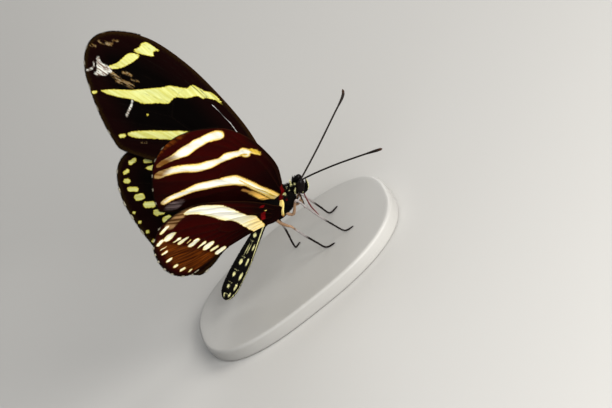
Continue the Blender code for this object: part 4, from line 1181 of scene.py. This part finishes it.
# Where the orange end begins, and over how much of the length it comes in.
LOBE_END_AT = 0.78
LOBE_END_FADE = 0.14
lobe_material, flow, give = new_finish("flank_lobe", roughness=0.75, specular=0.04)
lobe_place = flow.node("ShaderNodeUVMap", {"uv_map": "lobe"})
lobe_streak = flow.noise(flow.stretched(lobe_place, (24.0, 3.0, 1.0)), detail=3.0).fade(0.35, 0.65)
cream = lobe_streak.mix((0.78, 0.52, 0.11), (0.97, 0.84, 0.32))
give("Base Color", flow.attribute("end").mix(cream, (0.62, 0.24, 0.08)))
give("Roughness", lobe_streak * 0.15 + 0.65)
give("Normal", bump(flow, lobe_streak, 0.00005, 0.6))
for name, side in SIDES:
    path, radii = route(on_side(LOBE_PATH, side), LOBE_RADII, LOBE_ROWS)
    points, faces = tube(path, radii, LOBE_SIDES, LOBE_SPREAD)[:2]
    down = np.repeat(np.linspace(0.0, 1.0, LOBE_ROWS), LOBE_SIDES)
    chart = np.stack([np.tile(np.linspace(0.0, 1.0, LOBE_SIDES), LOBE_ROWS), down], axis=1)
    end = ramp(down, LOBE_END_AT, LOBE_END_AT + LOBE_END_FADE)
    add_piece("flank_lobe_" + name, HUB + points, faces, lobe_material, (),
              {"end": np.append(end, [0.0, 1.0])}, {"lobe": np.vstack([chart, [[0.5, 0.0], [0.5, 1.0]]])})

# Proboscis: a drinking tube of two dark red half pipes locked side by side,
# ringed all along, let down from the mouth.

PROBOSCIS_PATH = ((4.6, 0.0, -1.2), (4.3, 0.0, -2.3), (3.9, 0.0, -3.7), (3.6, 0.0, -5.4), (3.6, 0.0, -7.6))
PROBOSCIS_RADIUS = 0.13
PROBOSCIS_APART = 0.1
PROBOSCIS_ROWS = 240
PROBOSCIS_SIDES = 14
PROBOSCIS_GROOVE = 0.09
proboscis_material, flow, give = new_finish("proboscis_horn", roughness=0.35)
tint = flow.noise(flow.object_place(1500.0))
give("Base Color", tint.mix((0.060, 0.004, 0.005), (0.150, 0.012, 0.010)))
give("Roughness", tint * 0.25 + 0.25)
give("Normal", bump(flow, flow.noise(flow.object_place(8000.0)), 0.00001, 0.4))
for name, side in SIDES:
    path, radii = route(np.array(PROBOSCIS_PATH) + (0.0, side * PROBOSCIS_APART, 0.0),
                        [PROBOSCIS_RADIUS] * 4 + [0.4 * PROBOSCIS_RADIUS], PROBOSCIS_ROWS)
    radii = radii * (1.0 - PROBOSCIS_GROOVE * np.abs(np.sin(np.arange(PROBOSCIS_ROWS) * np.pi / 4)))
    points, faces = tube(path, radii, PROBOSCIS_SIDES)[:2]
    add_piece("proboscis_half_" + name, HUB + points, faces, proboscis_material,
              ["proboscis"] if name == "left" else ())

# Antennae: black feelers of many short segments, each narrow at its joint. They
# thicken to a slim club with a brown tip.

ANTENNA_PATHS = {
    "right": ((4.8, -0.4, 0.2), (6.5, -0.6, 0.3), (11.6, -3.3, 0.3), (17.0, -6.4, 0.0), (21.4, -9.0, -0.4)),
    "left": ((4.8, 0.4, 0.0), (6.0, 0.5, 0.3), (11.2, 3.0, 1.6), (17.0, 5.8, 3.3), (20.3, 7.4, 4.3),
             (21.2, 8.0, 5.2)),
}
ANTENNA_SEGMENT = 0.42
ANTENNA_RADIUS = 0.165
ANTENNA_ROWS = 520
ANTENNA_SIDES = 16
CLUB_RADIUS = 0.27
CLUB_LENGTH = 3.4
# A joint's half width, as a share of its segment, and its depth, as a share of the
# radius. Then the lengths from the end between which the brown comes in.
JOINT_HALF = 0.09
JOINT_DEPTH = 0.13
TIP_BROWNS = (1.08, 0.18)
antenna_material, flow, give = new_finish("antenna_horn", roughness=0.55, specular=0.12)
speck = flow.noise(flow.object_place(5200.0), detail=2.0)
tipward = flow.attribute("tip")
black = speck.mix((0.003, 0.0025, 0.002), (0.014, 0.010, 0.008))
black = (flow.attribute("joint") * 0.4).mix(black, (0.030, 0.020, 0.012))
give("Base Color", (tipward * 0.7).mix(black, (0.050, 0.018, 0.006)))
give("Roughness", speck * 0.3 + 0.35)
give("Normal", bump(flow, speck, 0.00002, 0.5))
for name, points in ANTENNA_PATHS.items():
    path = spaced(smooth_line(points), ANTENNA_ROWS)
    run = run_along(path)
    left = run[-1] - run
    club = np.sin(np.pi * np.clip(left / CLUB_LENGTH, 0.0, 1.0) ** 0.62)
    radii = ANTENNA_RADIUS + (CLUB_RADIUS - ANTENNA_RADIUS) * club
    radii = radii * np.sqrt(np.clip(left / 0.35, 0.02, 1.0))
    phase = np.mod(run, ANTENNA_SEGMENT) / ANTENNA_SEGMENT
    joint = np.exp(-(np.minimum(phase, 1 - phase) / JOINT_HALF) ** 2)
    radii = radii * (1.0 - JOINT_DEPTH * joint)
    points, faces = tube(path, radii, ANTENNA_SIDES)[:2]
    tip = ramp(left, *TIP_BROWNS)
    add_piece("antenna_rod_" + name, HUB + points, faces, antenna_material, ["antenna_" + name],
              {"tip": np.append(np.repeat(tip, ANTENNA_SIDES), [0.0, 1.0]),
               "joint": np.append(np.repeat(joint, ANTENNA_SIDES), [0.0, 0.0])})

# Legs: slender jointed legs of horn under scales and fine hair, pale down to the
# shins and black at the feet, with two claws. The first pair is small and folded.

LEG_PATHS = {
    "leg_middle_right": ((-0.5, -1.2, -2.2), (0.6, -1.9, -3.2), (2.5, -2.75, -1.1), (2.95, -2.85, -1.0),
                         (3.1, -2.95, -1.6), (3.95, -3.5, -5.6), (4.9, -3.6, -9.2), (5.5, -3.6, -11.2),
                         (6.2, -3.7, -11.72), (7.2, -3.8, -11.76)),
    "leg_hind_right": ((-2.6, -1.0, -1.9), (-2.2, -2.1, -2.9), (-1.3, -3.4, -3.7), (-0.95, -3.6, -4.1),
                       (-0.3, -3.9, -6.8), (0.5, -4.0, -9.6), (1.0, -4.1, -11.2), (1.7, -4.2, -11.72),
                       (2.7, -4.4, -11.76)),
    "leg_middle_left": ((-0.5, 1.2, -2.2), (0.9, 2.2, -3.2), (2.4, 3.3, -2.6), (2.8, 3.5, -2.9),
                        (3.4, 4.2, -5.6), (4.0, 4.8, -9.2), (4.3, 5.1, -11.2), (5.0, 5.4, -11.72),
                        (6.0, 5.8, -11.76)),
    "leg_hind_left": ((-2.6, 1.0, -1.9), (-3.2, 2.0, -3.4), (-3.0, 2.9, -4.4), (-2.9, 3.1, -4.9),
                      (-3.3, 3.2, -7.4), (-3.9, 3.2, -9.8), (-4.2, 3.2, -11.2), (-4.1, 3.4, -11.72),
                      (-3.3, 3.9, -11.76)),
}
LEG_RADII = (0.26, 0.26, 0.21, 0.17, 0.165, 0.155, 0.14, 0.135, 0.13, 0.10)
FORELEG_PATH = ((1.6, 0.5, -2.0), (2.3, 0.8, -2.7), (3.2, 1.1, -2.35), (3.35, 1.15, -2.6), (2.9, 1.15, -3.9))
FORELEG_RADII = (0.24, 0.22, 0.17, 0.15, 0.05)
LEG_SIDES = 16
LEG_ROWS = 300
# The knee's distance from the root and half its length, and how dark it is.
KNEE_AT = 4.6
KNEE_HALF = 0.5
KNEE_DARK = 0.54
# The foot's length and that of its segments, a joint's half width and its depth as
# a share of the radius, and the lengths from the claws where the shin darkens.
FOOT_LENGTH = 3.6
FOOT_SEGMENT = 0.72
FOOT_JOINT_HALF = 0.09
FOOT_JOINT_DEPTH = 0.16
SHIN_DARKENS = (7.2, 4.6)

leg_material, flow, give = new_finish("leg_scales", roughness=0.55, specular=0.15)
fine = flow.noise(flow.object_place(6500.0), detail=3.0)
grey_leg = fine.mix((0.13, 0.115, 0.115), (0.50, 0.46, 0.45))
cream_leg = fine.mix((0.17, 0.075, 0.036), (0.50, 0.34, 0.21))
pale_leg = flow.attribute("cream").mix(grey_leg, cream_leg)
black_leg = fine.mix((0.0015, 0.0010, 0.0010), (0.016, 0.008, 0.007))
give("Base Color", (flow.attribute("dark") + (fine - 0.5) * 0.3).fade(0.25, 0.75).mix(pale_leg, black_leg))
give("Roughness", fine * 0.25 + 0.42)
give("Normal", bump(flow, fine, 0.00002, 0.6))


# A claw's bend from the foot's end: forward, sideways and up. Then its radii.
CLAW_BEND = ((0.0, 0.0, 0.0), (0.16, 0.07, 0.03), (0.32, 0.11, -0.03), (0.4, 0.12, -0.11))
CLAW_RADII = (0.05, 0.045, 0.03, 0.008)


def claw_pair(tip, ahead, across):
    """Two hooks, each a thin tube along the claw's bend, to one side of the foot and to the other."""
    shapes = []
    for side in (-1, 1):
        bend = [tip + ahead * x + across * side * y + (0, 0, z) for x, y, z in CLAW_BEND]
        path, radii = route(bend, CLAW_RADII, 14)
        shapes.append(tube(path, radii, 8)[:2])
    return shapes


def join_shapes(shapes):
    """Several sets of points and faces as one set."""
    points, faces, first = [], [], 0
    for some, parts in shapes:
        points.append(some)
        faces.extend(part + first for part in parts)
        first += len(some)
    return np.vstack(points), faces


for name, points in LEG_PATHS.items():
    path, radii = route(points, LEG_RADII[:len(points)], LEG_ROWS)
    run = run_along(path)
    foot = run[-1] - run
    radii = radii * np.sqrt(np.clip(foot / 0.12, 0.05, 1.0))
    joint_gap = np.abs(np.mod(foot, FOOT_SEGMENT) - FOOT_SEGMENT / 2)
    joint = np.where(foot < FOOT_LENGTH, np.exp(-(joint_gap / FOOT_JOINT_HALF) ** 2), 0.0)
    leg = tube(path, radii * (1.0 - FOOT_JOINT_DEPTH * joint), LEG_SIDES)
    points, faces, normals = leg[:3]
    # Black feet, a dark knee, and a dark stripe down the inner side of the thigh.
    shade = ramp(foot, *SHIN_DARKENS)
    knee = ramp(np.abs(run - KNEE_AT), KNEE_HALF, 0.0) * KNEE_DARK
    inner = np.clip(normals[:, 1] * 1.4 * -np.sign(path[5, 1]) - 0.2, 0.0, 1.0)
    stripe = inner * np.repeat(run < KNEE_AT, LEG_SIDES)
    dark = np.clip(np.repeat(np.maximum(shade, knee), LEG_SIDES) + stripe, 0.0, 1.0)
    cream = np.repeat(ramp(run, KNEE_AT + 0.6, KNEE_AT - 0.2), LEG_SIDES)
    ahead = unit(path[-1] - path[-12])
    claws = claw_pair(path[-3], ahead, unit(np.cross(ahead, (0.0, 0.0, 1.0))))
    whole, parts = join_shapes([(points, faces)] + claws)
    horn = np.ones(len(whole) - len(dark))
    values = {"dark": np.append(dark, horn), "cream": np.append(cream, 0 * horn)}
    add_piece(name + "_scaled", HUB + whole, parts, leg_material, [name], values)
    tube_tufts(name + "_coat", leg, LEG_SIDES, leg_material, {"dark": dark, "cream": cream},
               count=1500, seed=31, length=0.22, width=0.022, lift=0.22)
for name, side in SIDES:
    leg = tube(*route(on_side(FORELEG_PATH, side), FORELEG_RADII, 120), LEG_SIDES)
    points, faces, normals = leg[:3]
    dark = np.clip(0.45 + 0.8 * normals[:, 0], 0.0, 1.0)
    cream = np.ones(len(points))
    add_piece("foreleg_scaled_" + name, HUB + points, faces, leg_material, ["foreleg_" + name],
              {"dark": np.append(dark, [0.5, 0.5]), "cream": cream})
    tube_tufts("foreleg_coat_" + name, leg, LEG_SIDES, leg_material,
               {"dark": dark, "cream": cream[:-2]}, count=700, seed=32, length=0.3, width=0.022, lift=0.3)

# Studio: a plain pale floor, four square soft lights, a dim white room, and a
# long lens at the photo's angle and distance.

FLOOR_HALF = 2000.0
floor_mesh = bpy.data.meshes.new("floor")
floor_corners = [Vector((x, y, 0)) * FLOOR_HALF * MM for x, y in ((-1, -1), (1, -1), (1, 1), (-1, 1))]
floor_mesh.from_pydata(floor_corners, [], [(0, 1, 2, 3)])
floor_finish, flow, give = new_finish("pale_floor", roughness=0.8, specular=0.2)
give("Base Color", flow.noise(flow.object_place(6.0)).mix((0.50, 0.495, 0.48), (0.53, 0.525, 0.51)))
floor_mesh.materials.append(floor_finish)
floor = bpy.data.objects.new("floor", floor_mesh)
bpy.context.scene.collection.objects.link(floor)

# The camera's turns from a square side view of the body: in the picture, about
# its upright and about the body, then its place as seen from the thorax.
PICTURE_TURN = 38.7
UPRIGHT_TURN = -8.4
BODY_TURN = 27.8
CAMERA_BACK = 430.0
CAMERA_RIGHT = 5.063
CAMERA_UP = -0.757
LENS = 140.38
SENSOR = 36.0

side_view = Matrix(((1, 0, 0), (0, 0, 1), (0, -1, 0)))
turned = (Matrix.Rotation(math.radians(PICTURE_TURN), 3, "Z")
          @ Matrix.Rotation(math.radians(UPRIGHT_TURN), 3, "Y")
          @ Matrix.Rotation(math.radians(BODY_TURN), 3, "X") @ side_view)
right, up, back = turned
lens = bpy.data.cameras.new("camera")
lens.lens = LENS
lens.sensor_width = SENSOR
lens.clip_start = 0.01
lens.clip_end = 20.0
camera = bpy.data.objects.new("camera", lens)
place = Vector(HUB) + right * CAMERA_RIGHT + up * CAMERA_UP + back * CAMERA_BACK
camera.matrix_world = Matrix.Translation(place * MM) @ turned.transposed().to_4x4()
bpy.context.scene.collection.objects.link(camera)
bpy.context.scene.camera = camera


def soft_light(name, direction, distance, size, watts, colour):
    """A square soft light that faces the thorax."""
    data = bpy.data.lights.new(name, "AREA")
    data.size = size * MM
    data.energy = watts
    data.color = colour
    lamp = bpy.data.objects.new(name, data)
    way = direction.normalized()
    lamp.location = (Vector(HUB) + way * distance) * MM
    lamp.rotation_mode = "QUATERNION"
    lamp.rotation_quaternion = way.to_track_quat("Z", "Y")
    bpy.context.scene.collection.objects.link(lamp)


soft_light("key", right * 0.55 + up * 0.85 + back * 0.75, 420.0, 220.0, 1.5, (1.0, 0.97, 0.92))
soft_light("side", Vector((0.45, -0.85, 0.36)), 380.0, 200.0, 1.5, (1.0, 0.98, 0.95))
soft_light("fill", right * -0.9 + up * 0.3 + back * 0.8, 500.0, 420.0, 0.6, (0.93, 0.96, 1.0))
soft_light("back", right * -0.2 + up * 1.0 - back * 0.6, 450.0, 260.0, 0.7, (1.0, 0.98, 0.95))
world = bpy.data.worlds.new("studio")
world.use_nodes = True
backdrop = world.node_tree.nodes["Background"]
backdrop.inputs["Color"].default_value = (1.0, 0.99, 0.97, 1.0)
backdrop.inputs["Strength"].default_value = 0.2
bpy.context.scene.world = world
bpy.context.scene.view_settings.view_transform = "Standard"
